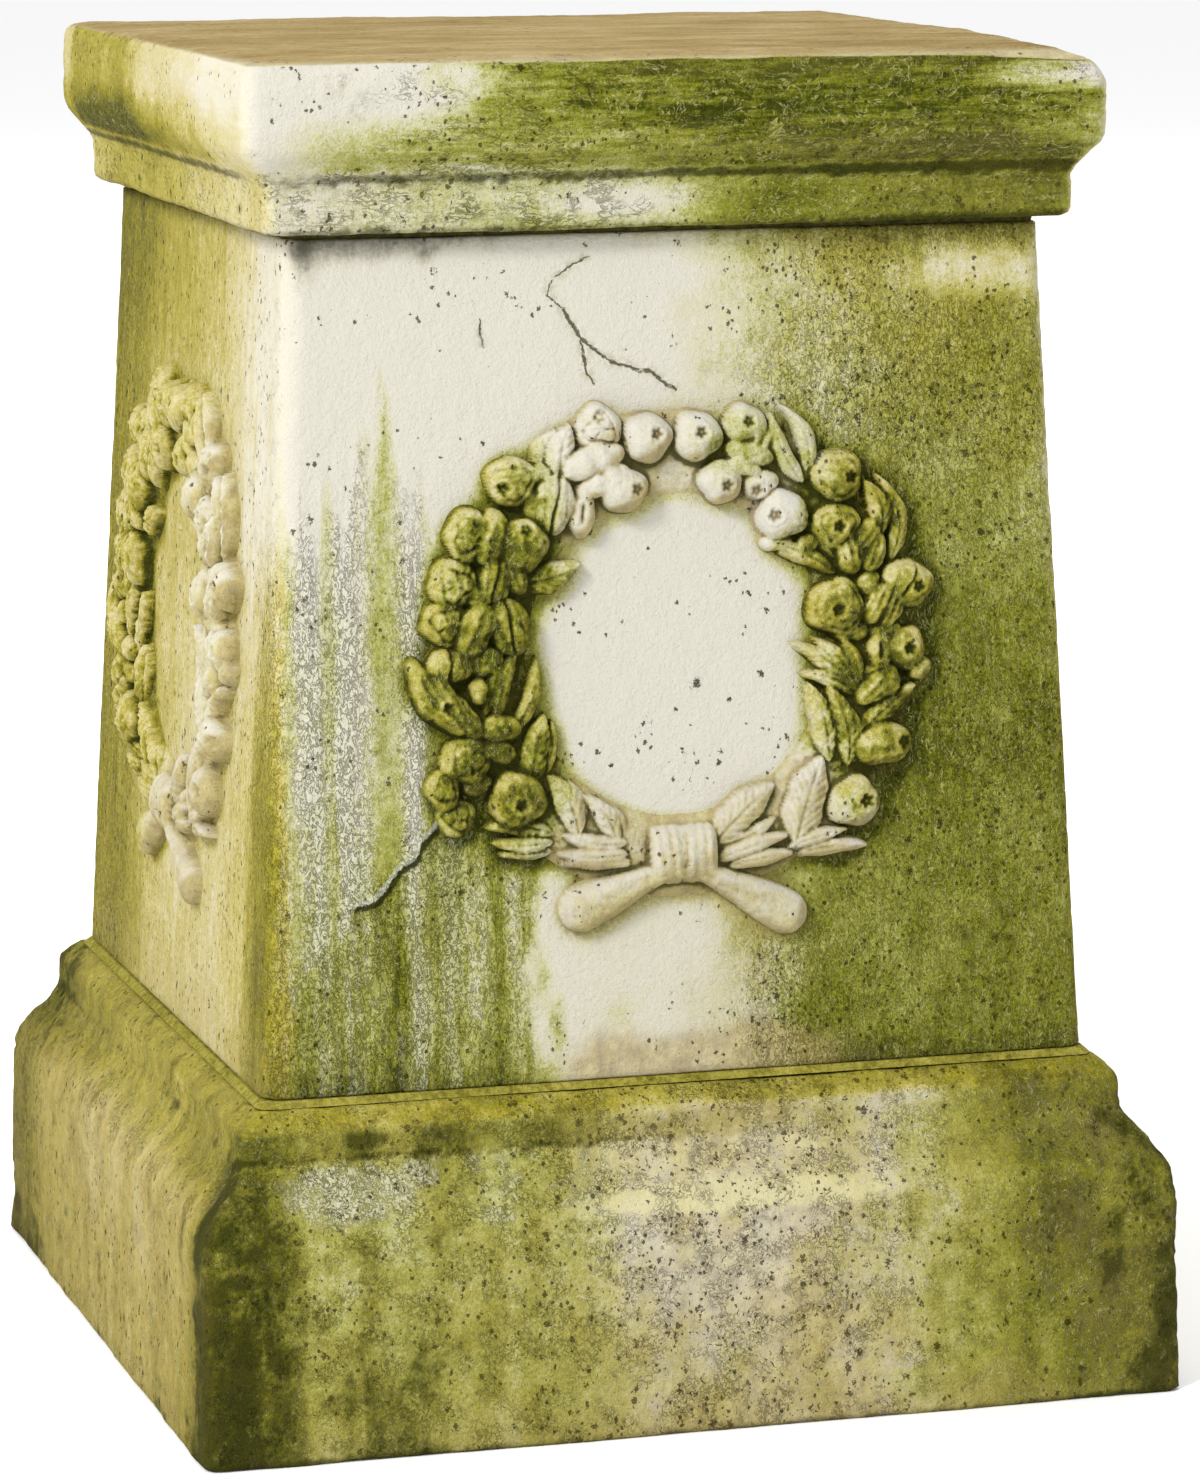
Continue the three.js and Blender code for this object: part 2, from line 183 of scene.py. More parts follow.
# ------------------------------------------------------------------ wreath relief
# u, z, half width, half height, turn, stands out, kind, calyx (du, dz) or None, roughness
FRUIT = [
    (-76, 424, 11.5, 11, 0, 16.5, "nut", (-5, -3), 0.7), (-57, 414, 9.5, 14, -5, 16.5, "split", None, 0.6),
    (-66, 413, 5.5, 8, 10, 12.5, "bud", None, 0.5), (-63, 427, 5, 4.5, 0, 12, "bud", None, 0.5),
    (-44.5, 409, 6.5, 10.5, -6, 13.5, "slit", None, 0.15),
    (-97, 401, 9, 12.5, -8, 15, "bud", None, 0.9), (-86, 400, 8, 12.5, -14, 17, "pod", None, 0.6),
    (-72, 396, 12, 12.5, 0, 18.5, "berry", (1, 7), 0.25),
    (-103, 380, 11.5, 11.5, 0, 16, "bud", None, 0.75), (-85, 381, 7, 11, -8, 17, "split", None, 0.6),
    (-76, 383, 5.5, 9.5, 18, 15, "pod", None, 0.5),
    (-107, 363, 10.5, 11, 0, 15, "bud", None, 1.0), (-94, 360, 8, 13.5, -24, 18, "pod", None, 0.45),
    (-79, 361, 9.5, 13.5, 16, 18.5, "split", None, 0.35), (-92, 374, 6, 5, 0, 14, "bud", None, 0.9),
    (-106, 344, 11, 8, 10, 16, "split", None, 0.6), (-116, 332, 5.5, 13, 24, 15.5, "pod", None, 0.3),
    (-108, 327, 7, 15, 32, 18.5, "pod", (0, -1), 0.3), (-101, 322, 6, 12, 42, 17, "pod", None, 0.4),
    (-93, 333, 3.6, 5.5, 0, 16, "bud", None, 0.2), (-90, 346, 8, 7, 20, 14.5, "bud", None, 0.8),
    (-84, 316, 10, 6, 0, 15, "bud", None, 0.4), (-85, 306, 9, 6, -12, 12.5, "bud", None, 0.8),
    (-99, 303, 11.5, 11, 0, 17, "bud", None, 1.0), (-109, 290, 7.5, 9.5, 0, 12.5, "bud", None, 0.9),
    (-103, 277, 9, 9, 0, 8.5, "bud", None, 1.0), (-94, 292, 7, 6, 0, 10.5, "bud", None, 0.9),
    (-76, 284, 13, 12.5, 0, 19.5, "berry", (0, -2), 0.35),
    (-36, 446, 11, 10.5, 0, 15.5, "bud", (0, 5), 0.3), (-39, 432, 15, 7.5, 18, 16.5, "pod", None, 0.1),
    (-34, 423, 13, 6.5, 24, 16.0, "pod", None, 0.1), (-26, 419, 12, 10, -12, 17.5, "berry", (6, 0), 0.1),
    (-14, 441, 11.3, 11, 0, 18.5, "berry", (3, 2), 0.1), (9, 441, 11.5, 11, 0, 18.5, "berry", (0.5, 2), 0.1),
    (31, 445.5, 10.5, 8.5, 0, 15.5, "berry", (1, 1.5), 0.15), (33, 433, 11.5, 5.5, -16, 14.5, "bud", None, 0.4),
    (38, 438, 8, 9, -30, 12.5, "pod", None, 0.4),
    (20, 421, 10.3, 10, 0, 16.5, "berry", (1.5, -2), 0.15), (38, 419, 8.5, 6.8, 0, 13.5, "berry", (-2, -3), 0.2),
    (30, 427, 8, 4, -20, 14.5, "bud", None, 0.4),
    (48, 405, 12, 11.3, 0, 18.5, "berry", (-5, 0), 0.15), (46, 393, 7, 4.5, 0, 10.5, "bud", None, 0.5),
    (60, 392, 5, 4, 0, 11, "bud", None, 0.4),
    (74, 421, 12.3, 11.7, 0, 17, "nut", (5, 0), 0.6), (73, 399, 11.3, 10.5, 0, 17.5, "nut", (0, 0), 0.5),
    (79, 386, 6, 8.5, 10, 16.5, "pod", None, 0.5), (87, 394, 6, 8, -40, 15.5, "pod", None, 0.3),
    (90, 386, 5.5, 9, -22, 15.5, "pod", None, 0.3),
    (73, 363, 13.5, 13, 0, 19, "rough", (-1, -1), 0.8), (88, 373, 6, 6, 0, 13.5, "bud", None, 0.6),
    (106, 372, 12.5, 10.5, -18, 18, "split", (4, -1), 0.2), (92, 364, 5.5, 10, -28, 16, "pod", None, 0.4),
    (99, 362, 5, 10, -22, 14.5, "pod", None, 0.4), (96, 351, 8, 5, 0, 12, "bud", None, 0.7),
    (80, 352, 8, 5, 0, 12.5, "bud", None, 0.8),
    (105, 343, 9.8, 9.8, 0, 16, "berry", (1, 0), 0.2), (93, 343, 6, 8.5, 0, 15, "slit", None, 0.2),
    (112, 334, 5.5, 5.5, 0, 12, "bud", None, 0.3),
    (90, 326, 6, 10, -48, 15, "pod", None, 0.5), (97, 328, 5, 7, -20, 15.5, "bud", None, 0.4),
    (94, 300.5, 13.5, 9.8, 8, 17.5, "hip", (9.5, 1), 0.2),
    (80, 275, 12.5, 11.5, 14, 17.5, "hip", (5, 0.5), 0.15),
]
# foot u, z, tip u, z, width, stands out, bend (mm, to the left of foot-tip), roughness
LEAVES = [
    (-53, 421, -49, 448, 14, 13, 3, 0.1), (-60, 424, -55, 446, 11, 9.5, 3.5, 0.1),
    (-73, 379, -45, 387, 13.5, 10.5, -2, 0.3),
    (-90, 322, -82, 350, 8, 14, 0, 0.4), (-85, 319, -75, 352, 8.5, 14.5, 2, 0.4), (-79, 313, -66, 346, 8, 11.5, -4, 0.4),
    (-69, 291, -62.5, 321, 13, 11.5, 1.5, 0.35), (-64, 293, -59, 318, 6, 8, -2, 0.2),
    (-48, 267, -61.5, 294, 13, 12, -2.5, 0.15), (-46, 270, -52, 291, 8, 8.5, -1.5, 0.15),
    (-30, 262, -45, 284, 10, 11, -2.5, 0.1), (-27, 264, -38, 280, 7, 7.5, -2.5, 0.15),
    (-26, 262, -55, 267, 8.5, 11.5, 2, 0.2), (-26, 257, -57.5, 258.5, 8.5, 13.5, 1, 0.15), (-24, 253, -56, 254, 7.5, 12.5, -1, 0.15),
    (-60, 268, -90, 272, 9, 10.5, -2, 0.7), (-60, 264, -87, 265, 7.5, 11, 1, 0.5), (-60, 260, -84, 259.5, 6, 9, 0, 0.5),
    (58, 419, 43.5, 450, 9, 13.5, 3, 0.1), (60, 420, 49, 453, 9, 11, -5.5, 0.1),
    (73, 378, 41, 393, 8.5, 10.5, -2, 0.3), (71, 382, 46, 388, 8, 9.5, -1, 0.3), (74, 384, 60, 402, 7, 12, 0, 0.3),
    (94, 394, 86, 419, 10.5, 15, -3.5, 0.1), (98, 381, 93, 421, 9.5, 11.5, -7, 0.15),
    (83, 325, 53, 347, 9.5, 13.5, -2.5, 0.3), (83, 325, 63, 349, 9.5, 14.5, -2, 0.3), (84, 326, 75, 350, 9, 14, -1, 0.3),
    (82, 323, 57, 333, 8.5, 12.5, -3, 0.3),
    (69, 294, 60, 329, 11, 12, -2, 0.25), (78, 292, 68, 329, 11.5, 13, -3.5, 0.3), (80, 292, 81, 316, 6.5, 12, -2, 0.3),
    (82, 303, 110, 326.5, 11, 13, 2, 0.25), (81, 306, 96, 322, 6, 10, 0, 0.3), (84, 330, 101, 334, 9, 14, 2, 0.4),
    (53, 258, 65.5, 296, 19.5, 13, 1.5, 0.12),
    (15, 260, 43, 285, 16, 12.5, 1.5, 0.2), (16, 258, 44, 270, 8, 10.5, -2, 0.3),
    (15, 252, 50, 262, 8.5, 13, 1, 0.15), (22, 249, 52.5, 253.5, 8, 12.5, 1, 0.15),
    (50, 256, 77, 263, 7, 12.5, 1, 0.3), (54, 253, 87, 255, 7.5, 11.5, 1.5, 0.4),
]
TAILS = [(-10, 248, -46.5, 233.5, 6.0, 11.0, 12.5), (10, 248, 48.5, 226.5, 6.0, 10.2, 12.5)]


def smax(a, b, k):
    """The larger of two heights, blended over k mm where they meet."""
    return np.maximum(a, b) + np.maximum(k - np.abs(a - b), 0) ** 2 / (4 * k)


def wreath_height(u, z, fine=True):
    """How far the wreath stands out of the die face at each point, in mm; below 0 is inside the die."""
    H = np.full(np.shape(u), -6.0)
    wave = fbm(u / 5.2, z / 5.2, 3.3, 2, 91) if fine else None
    crust = (0.75 * (fbm(u / 1.9, z / 1.9, 0.7, 3, 92) - 0.5) + 1.5 * (0.24 - np.abs(fbm(u / 4.2, z / 4.2, 1.9, 3, 93) - 0.5) * 2)) if fine else None
    rr = np.sqrt((u / 88.0) ** 2 + ((z - 344.5) / 90.0) ** 2)
    ring = 9.0 - (np.abs(rr - 1.0) * 88.0 / 25.0) ** 2.4 * 12.0
    theta = np.arctan2(z - 344.5, u)
    ring = ring * 1.0 + 1.2 * (fbm(u / 9, z / 9, 0.5, 3, 5) - 0.5) - 3.5
    H = np.maximum(H, ring)
    leafy = np.zeros(np.shape(u))
    for i, (u0, z0, u1, z1, wd, out, bend, rough) in enumerate(LEAVES):
        du, dz = u1 - u0, z1 - z0
        L = math.hypot(du, dz)
        ex, ez = du / L, dz / L
        s = ((u - u0) * ex + (z - z0) * ez) / L
        t = -(u - u0) * ez + (z - z0) * ex
        sc = np.clip(s, 0, 1)
        t = t - bend * 4 * sc * (1 - sc)
        half = wd / 2 * (np.sin(np.pi * np.clip(sc, 0.0, 1.0) ** 0.85) ** 0.62 * 0.92 + 0.10 * (1 - sc))
        half = half * (1 + 0.07 * np.sin(s * L / 2.6 + i)) + 1e-3
        over = np.maximum(np.maximum(-s, s - 1) * L, 0)
        v = t / half
        a = np.abs(v)
        prof = np.where(a < 1, 1 - 0.35 * a ** 2.5, 0.65 - (a - 1) * half * 0.55)
        h = out * (0.72 + 0.28 * np.sin(np.pi * np.clip(s, 0, 1) * 0.9)) * 0.94 * np.maximum(prof, -1) - over * 3.0
        h = np.where(a < 1, h, h - (a - 1) * half * 3.0)
        rib = np.exp(-(t / 0.75) ** 2) * (1 - sc ** 3) * (sc > 0.02)
        veins = np.sin((s * L - np.abs(t) * 1.15) * 2 * np.pi / 4.6) * ss(0.12, 0.35, a) * (a < 1)
        h = h - 1.25 * rib - 0.38 * veins * (wd > 9) + 0.55 * np.exp(-((a - 0.9) / 0.12) ** 2) * (over <= 0)
        if fine:
            h = h + rough * 1.0 * (fbm(u / 2.2, z / 2.2, i, 3, 40 + i) - 0.5)
        leafy = np.where(h > H, 1.0, leafy)
        H = smax(H, h, 1.0)
    for i, (cu, cz, a, b, turn, out, kind, calyx, rough) in enumerate(FRUIT):
        c, s = math.cos(math.radians(turn)), math.sin(math.radians(turn))
        p = ((u - cu) * c + (z - cz) * s)
        q = (-(u - cu) * s + (z - cz) * c)
        near = (np.abs(p) < a * 1.9) & (np.abs(q) < b * 1.9)
        if not near.any():
            continue
        pn, qn = p[near], q[near]
        r = np.sqrt((pn / a) ** 2 + (qn / b) ** 2)
        n = min(a, b, out - 1.0)
        centre = out - n
        wob = 1 + 0.05 * np.sin(3 * np.arctan2(qn, pn) + i) + 0.03 * np.sin(5 * np.arctan2(qn, pn) + 2 * i)
        r = r / wob
        h = np.where(r < 1, centre + n * np.sqrt(np.clip(1 - r * r, 0, 1)) ** 0.92, centre - (r - 1) * min(a, b) * 5.5)
        ang = np.arctan2(qn, pn)
        if kind == "split":
            line = pn - 0.12 * a * np.sin(qn / b * 2.5)
            h = h - 3.0 * np.exp(-(line / 0.85) ** 2) * (r < 1.05)
            h = h - 0.9 * np.exp(-((np.abs(pn) - 0.52 * a) / 0.7) ** 2) * (r < 0.95)
        elif kind == "pod":
            h = h - 0.7 * np.cos(pn / a * 3.1 * math.pi) * (r < 1) * (1 - r ** 4)
        elif kind == "slit":
            h = h - 3.2 * np.exp(-(pn / 1.1) ** 2 - (qn / (0.45 * b)) ** 4)
        elif kind == "rough":
            h = h + 1.1 * (vnoise(u[near] / 2.6, z[near] / 2.6, 7.5, 9) - 0.5) * (r < 1)
            h = h - 1.2 * np.exp(-((r - 0.78) / 0.06) ** 2)
        elif kind == "nut":
            h = h + 0.5 * np.sin(ang * 7 + i) * ss(0.25, 0.6, r) * (r < 1)
            h = h - 1.3 * np.exp(-((r - 0.66 - 0.07 * np.sin(3 * ang + i)) / 0.07) ** 2)
        elif kind == "bud" and min(a, b) > 7:
            lap = 0.60 + 0.10 * np.sin(3 * ang + 1.7 * i)
            h = h - 1.6 * np.exp(-((r - lap) / 0.075) ** 2)
            h = h - 1.5 * np.exp(-(np.sin(1.5 * ang + 0.9 * i + 1.3 * (r > lap)) / 0.20) ** 2) * (r > 0.12) * (r < 1.02)
        elif kind == "hip":
            h = h + 0.3 * np.sin(qn / b * 9) * (r < 1)
        if calyx is not None:
            cp, cq = calyx[0] * c + calyx[1] * s, -calyx[0] * s + calyx[1] * c
            d = np.hypot(pn - cp, qn - cq)
            ca = np.arctan2(qn - cq, pn - cp)
            rad = 3.3 if kind != "hip" else 3.9
            star = 0.5 + 0.5 * np.cos(5 * ca + i)
            h = h - (3.6 if kind != "hip" else 4.0) * np.exp(-(d / (rad * (0.62 + 0.25 * star))) ** 4)
            h = h + 1.3 * np.exp(-((d - rad * 1.22) / 0.95) ** 2) * (0.35 + 0.65 * star)
            h = h + 1.2 * np.exp(-(d / 0.9) ** 2)
        if fine:
            h = h + rough * (1.7 * (fbm(u[near] / 2.3, z[near] / 2.3, i, 3, 80 + i) - 0.5) + 0.9 * (fbm(u[near] / 5.0, z[near] / 5.0, i, 2, 70 + i) - 0.5))
        sub = H[near]
        leafy[near] = np.where(h > sub, 0.0, leafy[near])
        H[near] = smax(sub, h, 2.4)
    # ribbon: two turns round the tie
    for j, (a0, a1) in enumerate(((-14.4, 0.2), (-0.2, 14.8))):
        uc, hw = (a0 + a1) / 2, (a1 - a0) / 2
        zz = (z - 255.5) / 14.0
        x = (u - uc) / hw
        h = np.where(np.abs(zz) < 1, 15.8 * np.sqrt(np.clip(1 - zz ** 2, 0, 1)), -(np.abs(zz) - 1) * 40)
        h = h - 1.8 * np.abs(x) ** 4 - np.maximum(np.abs(x) - 1, 0) * hw * 5
        h = h + 0.42 * np.sin(u * 1.45 + 1.6 * np.sin(z / 8 + j) + j * 2.0) * (np.abs(x) < 1) + 0.5 * (fbm(u / 2.2, z / 9, 3 + j, 3, 15) - 0.5)
        leafy = np.where(h > H, 0.5, leafy)
        H = np.maximum(H, h)
    for j, (u0, z0, u1, z1, r0, r1, out) in enumerate(TAILS):
        du, dz = u1 - u0, z1 - z0
        L = math.hypot(du, dz)
        ex, ez = du / L, dz / L
        s = ((u - u0) * ex + (z - z0) * ez) / L
        t = -(u - u0) * ez + (z - z0) * ex
        sc = np.clip(s, 0, 1)
        rad = r0 + (r1 - r0) * ss(0, 1, sc)
        over = np.maximum(np.maximum(-s, s - 1), 0) * L
        d = np.hypot(t, over) / rad
        h = np.where(d < 1, out * np.sqrt(np.clip(1 - d * d, 0, 1)) ** 0.8, -(d - 1) * rad * 5)
        h = h - 0.7 * np.cos(t / rad * 5.5 + j + 0.6 * np.sin(s * 6)) * (d < 0.9) * (1 - ss(0.4, 1.1, s))
        h = h + 0.8 * (fbm(u / 4, z / 4, j, 3, 25) - 0.5)
        leafy = np.where(h > H, 0.5, leafy)
        H = np.maximum(H, h)
    if fine:
        H = H + crust * (0.75 + 1.15 * ss(-40, -70, u) + 0.85 * ss(48, 76, u)) * ss(0.0, 1.5, H)
        H = H + 0.35 * (wave - 0.5) * (H > 0.5)
    return np.where(H > 0, H * RELIEF, H), leafy


def gauss(img, sigma):
    k = int(max(1, round(sigma * 3)))
    g = np.exp(-0.5 * (np.arange(-k, k + 1) / sigma) ** 2)
    g /= g.sum()
    pad = np.pad(img, k, mode="edge")
    pad = np.apply_along_axis(lambda m: np.convolve(m, g, mode="valid"), 0, pad)
    return np.apply_along_axis(lambda m: np.convolve(m, g, mode="valid"), 1, pad)


GRID = 0.75
gu = np.arange(-150, 150.01, GRID)
gz = np.arange(190, 480.01, GRID)
GU, GZ = np.meshgrid(gu, gz)
GH, GLEAF = wreath_height(GU, GZ, fine=False)
GF = np.maximum(wreath_height(GU, GZ, fine=True)[0], 0)
GH0 = np.maximum(GH, 0)
# wreath maps: cavities for the painted crevice shade, convexity for the painted crest highlight, cover for the grime
# and painted shade round the wreath on the die, and smoothed height for the painted light and shade by slope
GCAV1 = gauss(GF, 1.3 / GRID) - GF
GCAV2 = gauss(GH0, 3.2 / GRID) - GH0
GCAV3 = gauss(GH0, 8.5 / GRID) - GH0
GCOVER = gauss((GH > 0.8).astype(float), 5.0 / GRID)
GNEAR = gauss((GH > 0.8).astype(float), 2.0 / GRID)
GWIDE = gauss((GH > 0.8).astype(float), 9.0 / GRID)
GSOFT = gauss(GH0, 1.4 / GRID)


def sample(img, u, z):
    x = np.clip((u - gu[0]) / GRID, 0, len(gu) - 1.001)
    y = np.clip((z - gz[0]) / GRID, 0, len(gz) - 1.001)
    x0, y0 = x.astype(int), y.astype(int)
    fx, fy = x - x0, y - y0
    return (img[y0, x0] * (1 - fx) * (1 - fy) + img[y0, x0 + 1] * fx * (1 - fy)
            + img[y0 + 1, x0] * (1 - fx) * fy + img[y0 + 1, x0 + 1] * fx * fy)


# ------------------------------------------------------------------ where the weathering lies
# Every face is painted in its own coordinates: u to the right seen from outside, z up.
# Channels: green, dark (dirt and painted shade), lichen, pits, tan (dirt and painted shade), streaks, lime (yellower,
# also painted highlight on the wreath), light (chalky lichen, and painted highlight on the base)
CH = 8


def fill(C, values):
    for i, v in enumerate(values):
        C[i] = v


CRACKS = {
    "top": [(-50, 499), (-46, 492), (-42, 486), (-36, 480), (-28, 475), (-18, 471), (-9, 469.5), (-3, 464), (3, 461)],
    "top_branch": [(-42, 486), (-41, 479), (-40, 472), (-36, 465)],
    "peel": [(-101, 289), (-106, 280), (-111, 272), (-118, 266), (-120, 259), (-128, 255), (-133, 248), (-139, 241), (-150, 238)],
    "tick": [(-87, 496), (-87.5, 489), (-86, 482)],
    "rise": [(-50, 499), (-57, 505), (-54, 512), (-46, 517), (-38, 521)],
}


def ragged(u, z, k, scale, seed, stretch=1.0):
    return fbm(u / scale + 13.7 * k, 3.1 * k, z / (scale * stretch), 4, seed) - 0.5


def paint_die(k, u, z):
    n1 = ragged(u, z, k, 14, 101, 1.6)
    n2 = ragged(u, z, k, 5, 111, 3.0)
    n3 = ragged(u, z, k, 40, 121, 1.5)
    vs = fbm(u / 6.5, 2.2 * k, z / 90.0, 3, 131) - 0.5
    vf = fbm(u / 3.6, 4.2 * k, z / 70.0, 3, 141) - 0.5
    C = np.zeros((CH,) + np.shape(u))
    # cover maps shifted down and to the right, where the wreath's shade falls
    cover = sample(GCOVER, u - 2.0, z + 2.0)
    wide_cover = sample(GWIDE, u - 2.5, z + 2.5)
    inner = blob(u, z, 0, 344, 66, 82, 0.16)
    if k == 0 or k == 2:
        m = 1 if k == 0 else -1
        x = u * m
        xs = x + 26 * n1 + 12 * n2
        # right side: even algae that fades in softly over the head of the face and sharply below the wreath
        edge = 34 + 30 * band(z, 225, 440, 22)
        wide = 66 - 40 * (1 - ss(225, 262, z)) - 18 * band(z, 240, 430, 20)
        right = ss(edge - wide, edge + wide, xs)
        level = 0.42 + 0.04 * ss(500, 440, z) + 0.25 * ss(440, 340, z) - 0.05 * ss(280, 230, z) + 0.08 * ss(215, 165, z)
        g = right * (level + 0.10 * n3)
        g = g * (1 - 0.92 * inner)
        g = g + 0.3 * n1 * right - 0.25 * blob(x, z + 6 * n1, 146, 509, 32, 8, 0.9) + 0.20 * blob(x, z, 150, 475, 40, 30, 0.9)
        g = g + 0.14 * ss(512, 527, z + 8 * n1) * ss(-60, 40, xs)
        # left side: lichen drips with a ragged, spiky head
        head = 424 + 44 * np.exp(-((x + 131) / 7.5) ** 2) + 22 * np.exp(-((x + 142) / 4.5) ** 2) - 22 * ss(-116, -104, x) + 74 * vf + 20 * n1
        xw = x + 5 * (fbm(u / 20.0, 7.7, z / 30.0, 3, 151) - 0.5)
        chalk = sum(a * np.exp(-((xw - c) / w) ** 2) for c, w, a in ((-166, 4, 0.8), (-151, 5, 1.0), (-121, 5, 1.0), (-106, 4, 0.6)))
        mossy = sum(a * np.exp(-((xw - c) / w) ** 2) for c, w, a in ((-177, 3, 0.7), (-158, 3, 0.5), (-133, 8, 1.0), (-113, 3, 0.6), (-96, 5, 0.6)))
        zone = 1 - ss(-118, -100, xs - 0.04 * (z - 330))
        left = zone * ss(head + 12, head - 34, z)
        thick = zone * ss(head + 4, head - 90, z)
        low = (1 - ss(-76, -54, xs)) * (1 - ss(284, 298, z + 10 * n1))
        below = low * ss(-6, 8, (x + 101) - 0.96 * (z - 289) + 8 * n2)
        g = g + left * (0.10 + 0.06 * ss(400, 320, z) + 0.12 * ss(310, 240, z) + 0.16 * ss(235, 180, z)) * (1 + 1.3 * vs) + left * (0.26 * mossy - 0.12 * chalk)
        g = np.maximum(g, below * (0.50 + 0.70 * vs + 0.10 * mossy + 0.10 * ss(200, 165, z)))
        lich = np.maximum((0.40 * left + 0.34 * thick) * (0.72 + 0.5 * chalk - 0.45 * mossy), 0.0) * (1 - below) + below * (0.38 + 0.30 * chalk)
        arris = (1 - ss(-183, -176, x + 6 * n2)) * ss(448, 420, z + 20 * n1)
        g = np.maximum(g, (0.56 + 0.3 * vs) * arris)
        # grime and painted shade lie round the wreath, offset down and to the right of it, thickest down its outer
        # right and its inner left
        ring = ss(0.05, 0.60, cover)
        tight = ss(0.15, 0.80, sample(GNEAR, u - 1.5, z + 2.0))
        weight = 0.26 + 0.12 * ss(300, 270, z) + 0.34 * ss(48, 78, np.abs(u)) - 0.10 * blob(u, z, 0, 446, 50, 26, 0.6)
        g = g + ring * weight + 0.46 * ss(0.03, 0.75, wide_cover) * (0.25 + 0.75 * ss(40, 80, np.abs(u)))
        # below the tie the face is pale, with a tan scrape at the foot
        pale = band(xs, -62, 56, 14) * (1 - ss(228, 256, z)) * (1 - 0.6 * ring)
        g = g * (1 - 0.80 * pale) + pale * (0.08 + 0.22 * ss(5, 60, xs) + 0.12 * (n3 > 0.05) * ss(0.05, 0.2, n3))
        tan = 0.85 * band(xs, -50, 75, 18) * (1 - ss(164, 184, z + 12 * n1)) + pale * (0.20 + 0.30 * ss(-10, 40, x)) + 0.20 * ss(180, 160, z)
        # tan round the inner wreath and the tie: grime with painted shade
        tan = tan + 0.30 * right * ss(500, 524, z) + 0.62 * ring * (1 - ss(40, 80, np.abs(u)))
        g = g + 0.20 * ss(172, 158, z + 8 * n1) * (1 - band(x, -60, 66, 14))
        # darker along the head of the face under the cap, strongest at the left: a brownish stain, with painted shade
        # under the cap's overhang
        dark = 0.62 * ss(515, 531, z + 14 * n1 + 6 * n2) * (0.5 + 0.5 * ss(-60, -110, x) + 0.3 * ss(20, 80, x)) + 0.40 * blob(x, z, -168, 522, 9, 14, 0.7)
        # darker close round the wreath, down its outer right, its inner left, below it and left of the tie: grime with
        # painted shade
        dark = dark + 0.20 * tight * ss(40, 90, np.abs(u)) + 0.06 * tight + 0.24 * ring * ss(50, 90, x) + 0.16 * blob(x, z, 134, 487, 12, 15, 0.7)
        dark = dark + 0.26 * ring * band(x, -74, -48, 8) + 0.14 * ring * ss(290, 265, z) * (1 - ss(50, 80, np.abs(u)))
        dark = dark + 0.14 * right * ss(0.08, 0.24, n2) + 0.26 * ring * band(x, -70, 12, 10) * ss(276, 262, z)
        dark = dark + 0.16 * ss(190, 165, z) * (1 - ss(-120, -60, x)) + 0.14 * right * ss(330, 200, z)
        dark = dark + 0.30 * arris * ss(300, 180, z)
        pits = 0.03 - 0.6 * blob(x, z, 146, 509, 34, 10, 0.6) + 0.62 * right + 0.12 * left + 0.30 * below + 0.3 * pale * ss(-10, 40, x) + 0.35 * blob(x, z, 100, 455, 60, 30, 0.8) + 0.3 * blob(x, z, 160, 300, 30, 20, 0.8)
        fill(C, [g, dark, lich, pits, tan, 0.35 * right + 0.60 * below + 0.50 * left, 0.22 + 0.10 * n3 + 0.85 * arris + 0.35 * right * ss(380, 500, z), 0.30 * left * chalk])
    else:
        m = 1 if k == 3 else -1          # k 3 is the left face, with the near corner at x = +190
        x = u * m
        xs = x + 22 * n1 + 10 * n2
        far = ss(-40, -140, xs)
        top = ss(425, 495, z + 14 * n1) * ss(90, -50, xs)
        corner = ss(136, 166, x + 10 * n2)
        g = 0.30 + 0.34 * far * (1 - 0.25 * top) + 0.22 * top - 0.24 * ss(40, 140, xs) * ss(270, 410, z) + 0.12 * n3
        g = g - 0.10 * blob(x, z, 40, 250, 60, 90, 0.8) + corner * (0.40 + 0.4 * vs) * ss(440, 240, z + 20 * n1)
        # greener round the side wreath, more towards the far side: grime with painted shade
        g = g + 0.30 * ss(0.06, 0.62, cover) * ss(70, -30, x) + 0.12 * ss(0.1, 0.7, cover)
        g = g + 0.25 * vs * (0.4 + far)
        lich = 0.30 * band(xs, 150, 186, 10) * ss(420, 340, z) + 0.10 * far
        # darker along the head under the cap (stain with painted shade under the overhang) and close round the wreath
        # (grime with painted shade)
        dark = 0.45 * ss(523, 531, z + 3 * n1) * ss(150, 40, x) + 0.25 * ss(0.15, 0.8, sample(GNEAR, u, z + 2.0)) * ss(60, -20, x)
        dark = dark + 0.30 * corner * ss(-0.02, 0.2, vf) * ss(420, 300, z) + 0.10 * far
        tan = 0.34 - 0.30 * ss(60, 160, xs) * ss(330, 450, z) + 0.22 * ss(200, 165, z)
        fill(C, [g, dark, lich, 0.34 + 0.2 * far, tan, 0.45, 0.95 - 0.25 * ss(60, 170, x) * ss(300, 450, z), 0])
    return np.clip(C, 0, 1)


